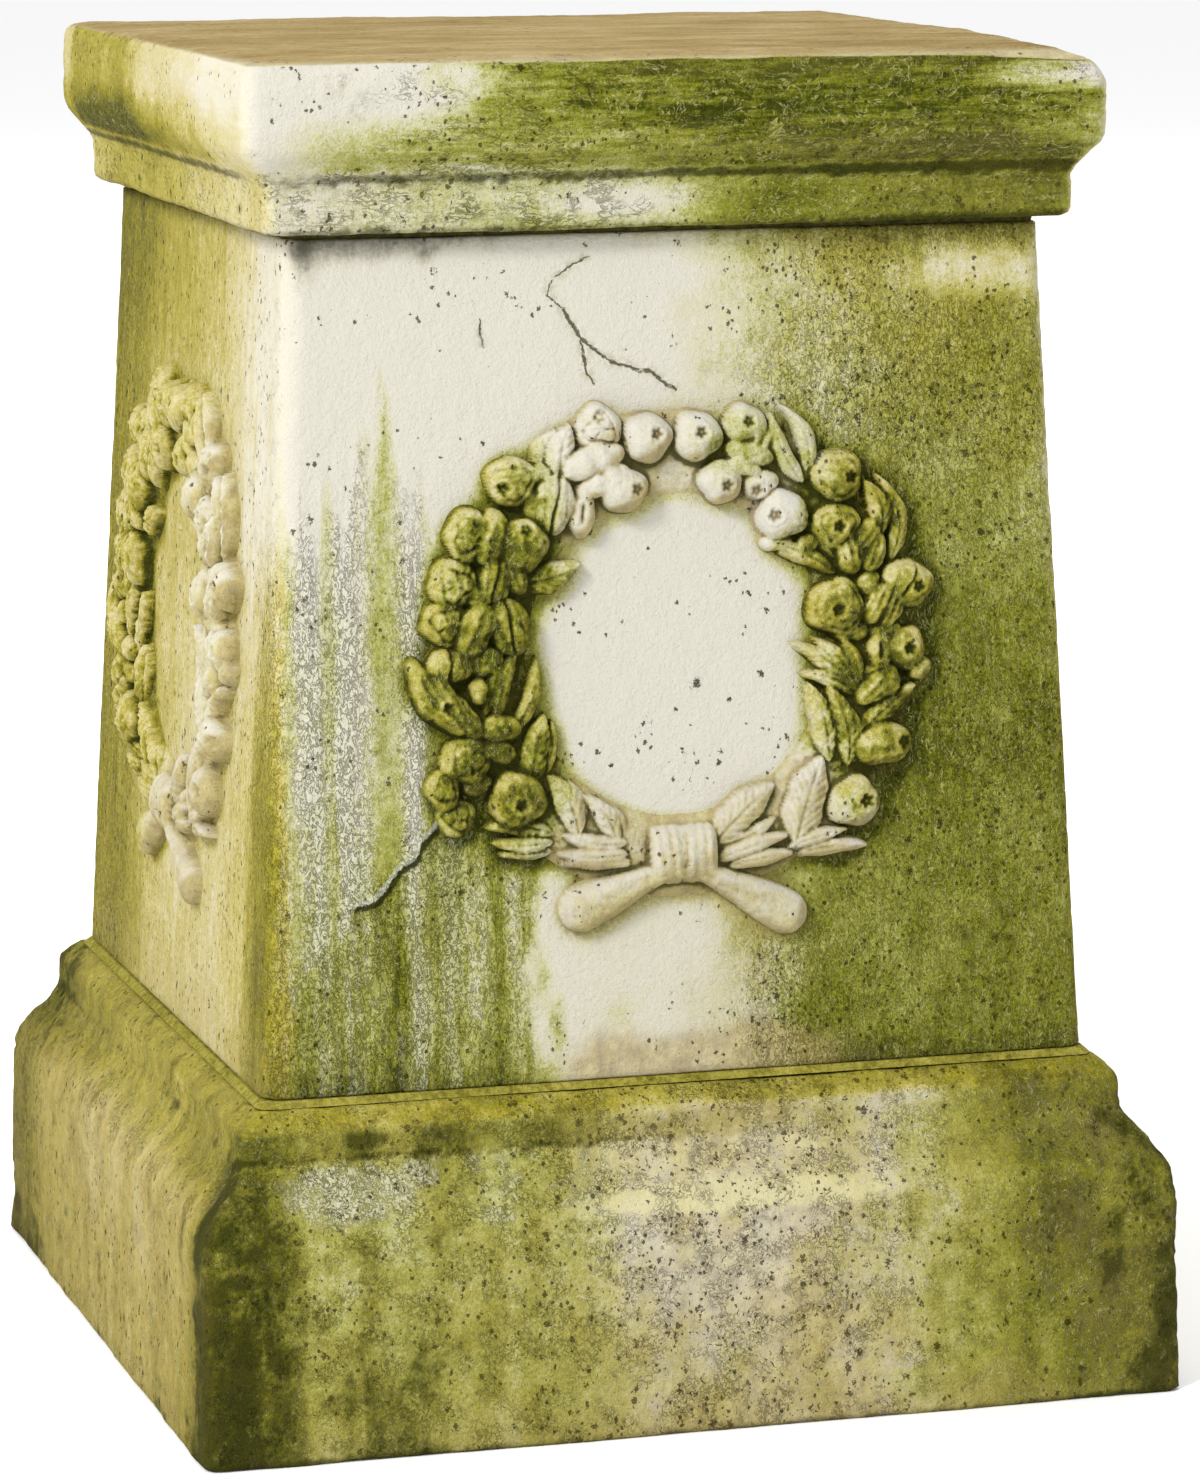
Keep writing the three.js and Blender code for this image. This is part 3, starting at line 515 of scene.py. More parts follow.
def paint_base(k, u, z):
    n1 = ragged(u, z, k, 16, 201)
    n2 = ragged(u, z, k, 6, 211)
    n3 = ragged(u, z, k, 45, 221)
    vs = fbm(u / 11.0, 2.2 * k, z / 120.0, 3, 231) - 0.5
    m = 1 if k in (0, 3) else -1
    x = u * m
    xs = x + 26 * n1 + 10 * n2
    C = np.zeros((CH,) + np.shape(u))
    ledge = ss(142, 147, z + 3 * n2)
    fillet = band(z, 131.5, 143, 1.6)
    foot = ss(26, 0, z + 14 * n1)
    slope = band(z, 100, 131, 3)
    if k in (0, 2):
        corner = ss(-176, -212, xs)
        middle = band(xs, -40, 96, 42)
        right = ss(92, 176, xs)
        g = 0.47 + 0.42 * corner + 0.04 * band(xs, -190, -90, 24) - 0.30 * middle + 0.36 * right + 0.34 * vs + 0.02 * foot + 0.16 * n3 + 0.30 * n1
        g = g - 0.10 * band(z, 52, 104, 18) * band(xs, -70, 60, 30)
        tan = 0.28 + 0.46 * middle + 0.3 * n3 - 0.24 * corner + 0.22 * foot
        dark = 0.16 * band(xs, -190, -90, 24) * ss(110, 90, z) + 0.95 * corner * ss(132, 110, z) * (0.80 + 1.2 * n2) + 0.12 * foot + 0.40 * ss(150, 215, xs)
        dark = dark + 0.12 * ss(0.0, 0.22, vs) + 0.30 * ss(0.06, 0.30, n1) * (1 - middle) + 0.16 * ss(0.1, 0.3, n2)
        dark = dark * (1 - 0.7 * fillet) + 0.26 * fillet * ss(90, -20, xs) + 0.12 * ss(-0.02, 0.20, vs) * band(xs, -200, -60, 30)
        dark = dark + 0.55 * band(z + 2 * n2, 129.6, 131.8, 0.9) * ss(120, -20, xs) + 0.40 * ss(3.5, 0.5, z + 4 * n1)
        g = g + 0.16 * fillet * ss(110, -10, xs)
        dark = dark + 0.45 * blob(x, z, -150, 139, 10, 3.5, 0.6)
        lich = 0.70 * blob(x, z + 5 * n2, -160, 118, 34, 13, 0.5) + 0.45 * slope * band(xs, -130, 0, 24) * ss(-0.05, 0.1, n1) + 0.16 * band(xs, -190, -40, 26)
        # painted highlight along the top of the cyma and its upward-facing slope, and a paler patch on the plinth face
        light = 0.55 * blob(x, z + 3 * n2, 40, 106, 80, 6, 0.8) + 0.45 * slope * band(xs, -60, 80, 30) + 0.35 * blob(x, z, 10, 74, 70, 22, 0.9)
        g = g * (1 - 0.55 * light)
        g = g * (1 - ledge) + ledge * (0.57 + 0.20 * right + 0.12 * corner + 0.4 * n1)
        dark = dark + 0.5 * ledge * ss(0.05, 0.25, n2 + 0.5 * n1) + 0.10 * ss(128, 136, z)
        tan = tan * (1 - 0.6 * ledge)
        fill(C, [g, dark * (1 - 0.45 * ledge), lich, 0.50 + 0.26 * middle, tan, 0.22, 0.46 + 0.3 * n3 + 0.5 * ledge, light])
    else:
        far = ss(-110, -190, xs)
        near = ss(168, 214, xs)
        upper = ss(104, 122, z + 14 * n1)
        g = 0.40 + 0.22 * far + 0.22 * upper + 0.34 * near - 0.10 * band(xs, -60, 110, 50) + 0.30 * vs + 0.12 * ss(96, 60, z) * ss(20, -20, z - 60) + 0.14 * n3
        tan = 0.74 - 0.30 * near - 0.16 * far + 0.3 * n3 - 0.34 * upper
        dark = 0.85 * ss(186, 218, x + 8 * n1) * ss(132, 104, z) * (0.8 + 1.2 * n2) + 0.40 * band(z + 2 * n2, 129.6, 131.8, 0.9) + 0.22 * foot + 0.36 * far + 0.18 + 0.4 * ss(0.06, 0.3, n1)
        # painted highlight along the upward-facing slope
        light = 0.35 * blob(x, z, 30, 114, 100, 12, 0.8)
        lich = 0.20 * slope * (0.5 + 1.5 * n3) + 0.16
        g = g * (1 - ledge) + ledge * 0.56
        fill(C, [g, dark, lich, 0.32, tan, 0.3, 0.95, light])
    return np.clip(C, 0, 1)


def paint_cap(k, u, z):
    n1 = ragged(u, z, k, 14, 301)
    n2 = ragged(u, z, k, 5, 311)
    n3 = ragged(u, z, k, 45, 321)
    m = 1 if k in (0, 3) else -1
    x = u * m
    xs = x + 30 * n1 + 14 * n2
    C = np.zeros((CH,) + np.shape(u))
    roll = ss(559.5, 563.5, z + 2.5 * n2)
    # groove under the roll: painted shadow
    under_roll_shade = band(z + 3.0 * n2, 555.2, 559.8, 1.2)
    fil = 1 - roll
    lower = ss(592, 566, z + 10 * n1)
    if k in (0, 2):
        edge = -93 - 58 * lower
        white = ss(edge + 26, edge - 26, xs)
        g = roll * (0.05 + (1 - white) * (0.62 + 0.20 * ss(-70, 10, xs) - 0.20 * lower * ss(30, -30, xs)))
        g = g + roll * white * 0.30 * lower * ss(-190, -140, x)
        g = g - roll * (0.62 * blob(x, z, 176, 599, 32, 7, 0.6) + 0.30 * ss(168, 198, xs))
        g = g + fil * (0.14 + 0.16 * ss(-160, -110, xs) + 0.12 * ss(-110, -60, xs) + 0.36 * ss(-10, 50, xs) - 0.34 * blob(x, z, -28, 546, 36, 9, 0.6) - 0.34 * ss(176, 190, x))
        grey = blob(x, z + 5 * n1, -152, 592, 15, 17, 0.8)
        dark = roll * (0.34 * ss(590, 606, z + 8 * n1) * ss(-80, -20, xs) + 0.34 * grey * ss(-0.10, 0.16, n2) + 0.42 * ss(0, 60, xs) * lower * ss(190, 150, x))
        # darker in the groove under the roll and along the cap's bottom edge by the joint: painted shadow
        dark = dark + 0.85 * under_roll_shade * ss(-196, -150, x) * (0.75 + 0.25 * ss(-60, 0, x)) + 0.45 * ss(538.5, 535, z) + 0.30 * fil * ss(-0.05, 0.2, n2) * ss(30, -60, xs) + 0.40 * fil * ss(40, 110, xs)
        tan = roll * 0.28 * lower + 0.30 * fil * ss(-60, -120, xs)
        lich = 0.55 * fil * ss(0, -60, xs) + 0.30 * grey + 0.22 * roll * (1 - white) * ss(60, -40, xs)
        pits = 0.50 - 0.42 * roll * white + 0.50 * blob(x, z, -118, 596, 20, 9, 0.8)
        fill(C, [g, dark, lich, pits, tan, 1.0 * roll * (1 - white) + 0.3 * fil, 0.18, 0])
    else:
        g = roll * (0.46 * band(xs, -168, -30, 24) + 0.26 * ss(-150, -172, xs) * (1 - 0.6 * blob(x, z, -176, 590, 10, 30, 0.5)))
        g = g + roll * (0.06 + 0.10 * band(xs, -40, 90, 40)) + roll * lower * (0.34 * band(xs, -150, 30, 40) + 0.34 * ss(216, 80, xs))
        g = g + fil * (0.22 + 0.20 * band(xs, -150, 40, 40) + 0.06 * ss(150, 60, xs)) + 0.10 * n3
        # darker in the groove under the roll and along the bottom edge by the joint: painted shadow
        dark = 0.75 * under_roll_shade * ss(205, 120, x) + 0.35 * ss(538.5, 535, z) * ss(190, 120, x) + 0.18 * roll * lower * band(xs, -130, 0, 40)
        tan = 0.28 * ss(150, 60, xs)
        fill(C, [g, dark, 0.22 * fil, 0.10 + 0.34 * ss(0.1, 0.4, g), tan, 0.20 * roll, 0.95, 0])
    return np.clip(C, 0, 1)


def paint_wreath(k, u, z, h=None):
    n1 = ragged(u, z, k, 16, 401)
    n2 = ragged(u, z, k, 5, 411)
    uj, zj = u + 16 * n1 + 5 * n2, z + 12 * n1
    C = np.zeros((CH,) + np.shape(u))
    if k in (0, 2):
        left = blob(uj, zj, -92, 352, 42, 98, 0.30)
        right = blob(uj, zj, 98, 362, 50, 82, 0.30)
        top = blob(uj, zj, 36, 438, 26, 16, 0.6)
        g = 0.84 * left + 0.80 * right + 0.30 * top + 0.07 + 0.07 * ss(310, 280, z) + 0.10 * blob(u, z, -72, 284, 20, 18, 0.6)
        g = g - 0.22 * blob(u, z, -103, 380, 11, 11, 0.6) - 0.26 * blob(u, z, 64, 308, 8, 24, 0.6) - 0.2 * blob(u, z, 48, 407, 12, 10, 0.6) - 0.10 * blob(u, z, 60, 340, 14, 14, 0.8)
        lime = 0.20 * left + 0.30 * right
    else:
        m = 1 if k == 3 else -1
        far = ss(26, -26, (uj * m) + 0.45 * (330 - zj))
        g = 0.44 * far * (1 - 0.35 * ss(380, 440, z)) + 0.12
        lime = 0.45 + 0.4 * far
    # crevices: grime, with painted shade where the folds of the wreath are shaded
    cav1 = np.clip(sample(GCAV1, u, z) / 0.42, 0, 1)
    cav2 = np.clip(sample(GCAV2, u, z) / 1.7, 0, 1)
    cav3 = np.clip(sample(GCAV3, u, z) / 4.2, 0, 1)
    # painted highlight on the crests of fruit and leaves
    crest_highlight = np.clip(-sample(GCAV2, u, z) / 1.6, 0, 1) * 0.6 + np.clip(-sample(GCAV1, u, z) / 0.5, 0, 1) * 0.4
    on = ss(0.05, 0.40, g)
    # painted light and shade by slope, as from the key light at the upper left: lower-right sides darker as painted
    # shade, upper-left sides lighter as painted highlight
    shade_side_slope = np.clip((sample(GSOFT, u - 2.4, z + 2.4) - sample(GSOFT, u + 2.4, z - 2.4)) / 5.0, -1, 1)
    painted_shade_side, painted_lit_side = np.maximum(shade_side_slope, 0), np.maximum(-shade_side_slope, 0)
    # weaker painted crevice shade on the side faces
    soft = 1.0 if k in (0, 2) else 0.55
    # green: deeper in the crevices and on the painted shade side, paler on the painted highlights
    C[0] = g + 0.16 * cav2 * on + 0.10 * cav1 * on - 0.42 * crest_highlight * on - 0.36 * painted_lit_side * on + 0.16 * painted_shade_side * (0.6 + 0.4 * on) + 0.10 * cav3 + 0.80 * n2 * on + 0.30 * n1 * on
    C[0] = np.maximum(C[0], (0.30 + 0.30 * n2) * on)
    if k in (0, 2):
        C[0] = C[0] + 0.10 * blob(uj, zj, -92, 325, 40, 60, 0.5)
    # painted crevice shade weakened on the wreath's low rim
    rim = 0.35 + 0.65 * ss(0.5, 4.0, sample(GH0, u, z))
    # dark: grime with painted shade in the crevices and on the lower-right sides, less on the painted lit side
    C[1] = soft * ((0.46 + 0.16 * on) * cav2 + (0.40 + 0.12 * on) * cav1 + (0.08 + 0.10 * on) * cav3) * rim + soft * painted_shade_side * (0.28 + 0.20 * on) + 0.10 * on - 0.20 * painted_lit_side + 0.30 * np.maximum(n2, 0) * on
    C[2] = 0.0
    C[3] = 0.04 + 0.08 * on
    # tan on the cream parts: crevice grime with painted shade in the crevices and on the lower-right sides
    C[4] = (0.80 * cav2 + 0.60 * cav1 + 0.95 * painted_shade_side + 0.36 * ss(310, 280, z) + 0.6 * np.maximum(n2 + 0.1, 0)) * (1 - on) + 0.14
    C[5] = 0.0
    # lime: yellower on the painted highlights
    C[6] = lime + 0.45 * np.maximum(painted_lit_side, crest_highlight) * on
    C[7] = 0.0
    return np.clip(C, 0, 1)


# ------------------------------------------------------------------ mesh building
def write_attributes(mesh, C, extra=None):
    n = len(mesh.vertices)
    for name, rows in (("stain", (0, 1, 2, 3)), ("tone", (4, 5, 6, 7))):
        a = mesh.attributes.new(name, "FLOAT_COLOR", "POINT")
        a.data.foreach_set("color", np.ascontiguousarray(C[list(rows)].T.astype(np.float32)).ravel())
    for name, values in (extra or {}).items():
        a = mesh.attributes.new(name, "FLOAT", "POINT")
        a.data.foreach_set("value", values.astype(np.float32))


def make_object(name, verts, quads, tris=()):
    mesh = bpy.data.meshes.new(name)
    mesh.from_pydata((verts * MM).tolist(), [], [tuple(q) for q in quads.tolist()] + [tuple(t) for t in tris])
    mesh.validate()
    mesh.update()
    mesh.polygons.foreach_set("use_smooth", np.ones(len(mesh.polygons), bool))
    o = bpy.data.objects.new(name, mesh)
    scene.collection.objects.link(o)
    return o


def densify(stations, steps):
    """Stations (w, z, corner radius) joined by straight runs, each cut to about its own step."""
    out = []
    for (a, b), step in zip(zip(stations, stations[1:]), steps):
        a, b = np.array(a, float), np.array(b, float)
        n = max(1, int(round(np.hypot(*(b - a)[:2]) / step)))
        for i in range(n):
            out.append(a + (b - a) * i / n)
    out.append(np.array(stations[-1], float))
    return np.array(out)


def square_turned(name, rows, side_cols, arc_cols, paint, relief, closed):
    """rows: (w, z, r) from foot to head. closed joins the last row to the first; otherwise both ends close on the axis."""
    if closed:
        rows = rows[:-1]
    nr = len(rows)
    w, zz, r = rows[:, 0], rows[:, 1], np.minimum(rows[:, 2], rows[:, 0])
    # profile normal
    if closed:
        dw, dz = np.roll(w, -1) - np.roll(w, 1), np.roll(zz, -1) - np.roll(zz, 1)
    else:
        dw, dz = np.gradient(w), np.gradient(zz)
    ln = np.hypot(dw, dz) + 1e-9
    nr_out, nr_up = dz / ln, -dw / ln
    cols = []
    for k in range(4):
        for i in range(side_cols):
            cols.append((k, -1 + 2 * i / side_cols, 0.0))
        for j in range(arc_cols):
            cols.append((k, 1.0, j / arc_cols))
    K = np.array([c[0] for c in cols])
    T = np.array([c[1] for c in cols])
    A = np.array([c[2] for c in cols])
    phi0 = K * math.pi / 2
    phi = phi0 + A * math.pi / 2
    nx, ny = np.sin(phi), -np.cos(phi)
    fx, fy = np.sin(phi0), -np.cos(phi0)
    tx, ty = np.cos(phi0), np.sin(phi0)
    W, RR = w[:, None], r[:, None]
    inner = W - RR
    X = inner * fx + T * inner * tx + RR * nx
    Y = inner * fy + T * inner * ty + RR * ny
    Z = np.broadcast_to(zz[:, None], X.shape).copy()
    NX, NY, NZ = nr_out[:, None] * nx, nr_out[:, None] * ny, np.broadcast_to(nr_up[:, None], X.shape)
    C = np.zeros((CH,) + X.shape)
    D = np.zeros(X.shape)
    extra = {}
    for k in range(4):
        c = np.cos(phi - k * math.pi / 2)
        wt = np.where(c > 1e-6, c * c, 0.0)
        use = wt > 1e-6
        a = k * math.pi / 2
        u = X[:, use] * math.cos(a) + Y[:, use] * math.sin(a)
        C[:, :, use] += paint(k, u, Z[:, use]) * wt[use]
        d, ex = relief(k, u, Z[:, use])
        D[:, use] += d * wt[use]
        for key, (values, rest) in ex.items():
            if key not in extra:
                extra[key] = np.full(X.shape, float(rest))
            flat = wt[use] > 0.98
            tmp = extra[key][:, use]
            tmp[:, flat] = values[:, flat]
            extra[key][:, use] = tmp
    D = D + relief(None, X, Y, Z, nr_out[:, None])
    fade = np.broadcast_to((np.abs(rows[:, 0]) > 120)[:, None], X.shape)
    D = D * fade
    V = np.stack([X + NX * D, Y + NY * D, Z + NZ * D], -1)
    nc = len(cols)
    idx = np.arange(nr * nc).reshape(nr, nc)
    nxt = np.roll(idx, -1, axis=1)
    if closed:
        up, upn = np.roll(idx, -1, axis=0), np.roll(nxt, -1, axis=0)
        quads = np.stack([idx, nxt, upn, up], -1).reshape(-1, 4)
        tris = []
        verts = V.reshape(-1, 3)
        CC = C.reshape(CH, -1)
        EX = {k2: v.reshape(-1) for k2, v in extra.items()}
    else:
        quads = np.stack([idx[:-1], nxt[:-1], nxt[1:], idx[1:]], -1).reshape(-1, 4)
        bottom, top = nr * nc, nr * nc + 1
        verts = np.vstack([V.reshape(-1, 3), [[0, 0, rows[0, 1]]], [[0, 0, rows[-1, 1]]]])
        tris = [(bottom, int(b), int(a)) for a, b in zip(idx[0], nxt[0])] + [(top, int(a), int(b)) for a, b in zip(idx[-1], nxt[-1])]
        CC = np.concatenate([C.reshape(CH, -1), C[:, 0, :1], C[:, -1, :1]], axis=1)
        EX = {k2: np.concatenate([v.reshape(-1), [0, 0]]) for k2, v in extra.items()}
    o = make_object(name, verts, quads, tris)
    write_attributes(o.data, CC, EX)
    return o


# ------------------------------------------------------------------ relief (mm along the surface normal)
def crack_channels(u, z):
    out = {}
    for key, tag in (("top", "a"), ("top_branch", "b"), ("peel", "p"), ("tick", "t"), ("rise", "r")):
        wander = 1.3 * (fbm(u / 5.0, 0.3, z / 5.0, 2, 61) - 0.5)
        d, along = line_distance(u + wander, z + wander, CRACKS[key])
        out["crack_" + tag] = (np.clip(d, -12, 12), 12.0)
        out["crackm_" + tag] = (((along > 0.004) & (along < 0.996)).astype(float) * (1 - ss(8, 12, np.abs(d))), 0.0)
    return out


def relief_die(k, a, b, c=None, nr=None):
    if k is None:
        X, Y, Z = a, b, c
        e = np.minimum(np.abs(X), np.abs(Y)) / np.maximum(np.maximum(np.abs(X), np.abs(Y)), 1)
        d = 0.9 * (fbm(X / 70, Y / 70, Z / 70, 3, 1) - 0.5) + 0.34 * (fbm(X / 9, Y / 9, Z / 14, 3, 2) - 0.5)
        d = d - 1.1 * ss(0.945, 0.99, e) * ss(0.52, 0.80, fbm(X / 17, Y / 17, Z / 8, 3, 3))
        return d
    u, z = a, b
    if k in (0, 2):
        uu = u if k == 0 else -u
        ex = crack_channels(uu, z)
        sd, m = ex["crack_p"][0], ex["crackm_p"][0]
        d = -0.9 * np.exp(-(ex["crack_a"][0] / 1.6) ** 2) * ex["crackm_a"][0]
        # crust standing proud on the upper left of the peeling edge
        sdp, al = line_distance(uu, z, CRACKS["peel"])
        d = d - 1.1 * ss(0.0, 2.0, sdp) * (1 - ss(5, 26, sdp)) * ((al > 0.01) & (al < 0.99))
        d = d - 2.2 * blob(uu, z, -147, 236, 5.0, 3.4, 0.5)
        left = (1 - ss(-122, -104, uu)) * (1 - ss(430, 470, z))
        wormy = fbm(u / 3.2, 0.5, z / 9.0, 3, 71) - 0.5
        d = d + (0.25 + 1.0 * left) * wormy * 1.0
        d = d + 1.1 * blob(uu, z, -2, 162, 2.6, 3.2, 0.6)
        return d, ex
    d = 0.5 * (fbm(u / 3.2, 0.5, z / 9.0, 3, 72) - 0.5)
    return d, {}


def relief_block(amp, seed):
    def f(k, a, b, c=None, nr=None):
        if k is None:
            X, Y, Z = a, b, c
            e = np.minimum(np.abs(X), np.abs(Y)) / np.maximum(np.maximum(np.abs(X), np.abs(Y)), 1)
            d = amp * 2.2 * (fbm(X / 60, Y / 60, Z / 30, 3, seed) - 0.5) + amp * 1.0 * (fbm(X / 11, Y / 11, Z / 7, 3, seed + 1) - 0.5)
            d = d - 1.5 * ss(0.945, 0.99, e) * ss(0.52, 0.82, fbm(X / 20, Y / 20, Z / 8, 3, seed + 2))
            if seed == 600:
                w = np.maximum(np.abs(X), np.abs(Y))
                front = ss(0.3, 0.95, -Y / np.maximum(w, 1))
                wear = 0.12 + 0.42 * front + 1.15 * ss(110, 190, X) * front
                d = d - 3.6 * ss(592, 607, Z) * ss(174, 193, w) * wear * (0.6 + 0.8 * fbm(X / 24, Y / 24, 0.5, 2, 640))
            return d
        u, z = a, b
        return 0.55 * amp * (fbm(u / 3.4, 0.7 + k, z / 3.4, 3, seed + 3) - 0.5) + amp * 1.0 * (fbm(u / 26, 0.2 + k, z / 5.0, 2, seed + 4) - 0.5), {}
    return f


# ------------------------------------------------------------------ the stones
core = 115.0
base_st = [(core, 0, 8), (226.6, 0.0, 7), (228.2, 1.6, 7), (226.1, 92, 7), (225.4, 99, 7), (223.6, 105, 7), (220.4, 110.6, 7), (216.4, 115.8, 6),
           (212.2, 120.2, 6), (209.2, 125, 6), (206.9, 129.6, 6), (205.5, 134, 6), (205.5, 142.6, 6), (204.6, 145.2, 6), (200.8, 149.0, 6),
           (196.6, 152.4, 6), (core, 152.5, 8), (core, 0, 8)]
fine = 1.9
base_steps = [16] + [1.2] + [2.3] + [fine] * 13 + [12, 22]
base_rows = densify(base_st, base_steps[:len(base_st) - 1])
o_base = square_turned("base_stone", base_rows, 168, 6, paint_base, relief_block(0.85, 500), True)

die_st = [(core, DIE_BOTTOM, 8), (die_half(DIE_BOTTOM) - 0.9, DIE_BOTTOM, 9.5), (die_half(157.0), 157.0, 9.5), (die_half(530.2), 530.2, 9.5),
          (die_half(DIE_TOP) - 1.0, DIE_TOP, 9.5), (core, DIE_TOP, 8), (core, DIE_BOTTOM, 8)]
die_rows = densify(die_st, [14, 1.2, 2.6, 1.2, 14, 47])
o_die = square_turned("die_stone", die_rows, 138, 7, paint_die, relief_die, True)

cap_st = [(2.0, 534, 0.5), (100, 534, 9), (182.8, 534.0, 8), (184.9, 535.4, 8), (185.6, 538, 8), (185.7, 552.8, 8), (187.2, 556.6, 8), (191.4, 562.0, 8), (195.8, 567.7, 8),
          (197.1, 570.8, 8), (197.5, 575, 8), (197.4, 600, 8), (197.1, 603.6, 8), (196.3, 606.4, 8), (194.8, 608.3, 8), (192.8, 609.3, 8), (190.4, 609.8, 8),
          (180, 609.9, 8), (2.0, 609.9, 0.5)]
cap_steps = [24, 12, 1.5, 1.5] + [1.8] * 8 + [1.4, 1.2, 1.1, 1.3, 1.8, 7.5]
cap_rows = densify(cap_st, cap_steps)


def paint_cap_all(k, u, z):
    C = paint_cap(k, u, z)
    top = ss(608.2, 609.4, z)
    flat = np.zeros((CH,) + np.shape(u))
    flat[:] = np.array([0.12, 0.0, 0.0, 0.25, 0.9, 0.0, 0.0, 0.0]).reshape((CH,) + (1,) * np.ndim(u))
    return C * (1 - top) + flat * top


o_cap = square_turned("cap_stone", cap_rows, 150, 7, paint_cap_all, relief_block(0.62, 600), False)

# ------------------------------------------------------------------ the wreaths
TH, NR = 960, 100
theta = np.arange(TH) / TH * 2 * math.pi
rad = np.arange(36, 160, 0.5)
PU, PZ = np.cos(theta)[:, None] * rad, 344.5 + np.sin(theta)[:, None] * rad
inside = sample(GH, PU, PZ) > -0.4
inside[:, rad > 142] = False
r_in = np.array([rad[row].min() if row.any() else 60 for row in inside]) - 2.2
r_out = np.array([rad[row].max() if row.any() else 118 for row in inside]) + 2.2


def widen(v, fn, reach, sigma):
    v = fn([np.roll(v, s) for s in range(-reach, reach + 1)], axis=0)
    g = np.exp(-0.5 * (np.arange(-3 * sigma, 3 * sigma + 1) / sigma) ** 2)
    g /= g.sum()
    return np.convolve(np.concatenate([v[-3 * sigma:], v, v[:3 * sigma]]), g, mode="valid")


r_in, r_out = widen(r_in, np.min, 9, 4), widen(r_out, np.max, 9, 4)
frac = np.linspace(0, 1, NR)
WR = r_in[:, None] + (r_out - r_in)[:, None] * frac
WU, WZ = np.cos(theta)[:, None] * WR, 344.5 + np.sin(theta)[:, None] * WR
WH, WLEAF = wreath_height(WU, WZ, fine=True)
WH = np.maximum(WH, -1.8)
WH[:, 0] = WH[:, -1] = -1.8
widx = np.arange(TH * NR).reshape(TH, NR)
wn = np.roll(widx, -1, axis=0)
wq = np.stack([widx, np.roll(widx, -1, axis=1), np.roll(wn, -1, axis=1), wn], -1).reshape(-1, 4)
FACES = ("front", "right", "back", "left")
wreaths = []
for k, side in enumerate(FACES):
    a = k * math.pi / 2
    px = WU
    py = -die_half(WZ) - WH * math.cos(B_ANG)
    pz = WZ + WH * math.sin(B_ANG)
    V = np.stack([px * math.cos(a) - py * math.sin(a), px * math.sin(a) + py * math.cos(a), pz], -1).reshape(-1, 3)
    o = make_object("wreath_stone_" + side, V, wq)
    write_attributes(o.data, paint_wreath(k, WU, WZ).reshape(CH, -1))
    wreaths.append(o)


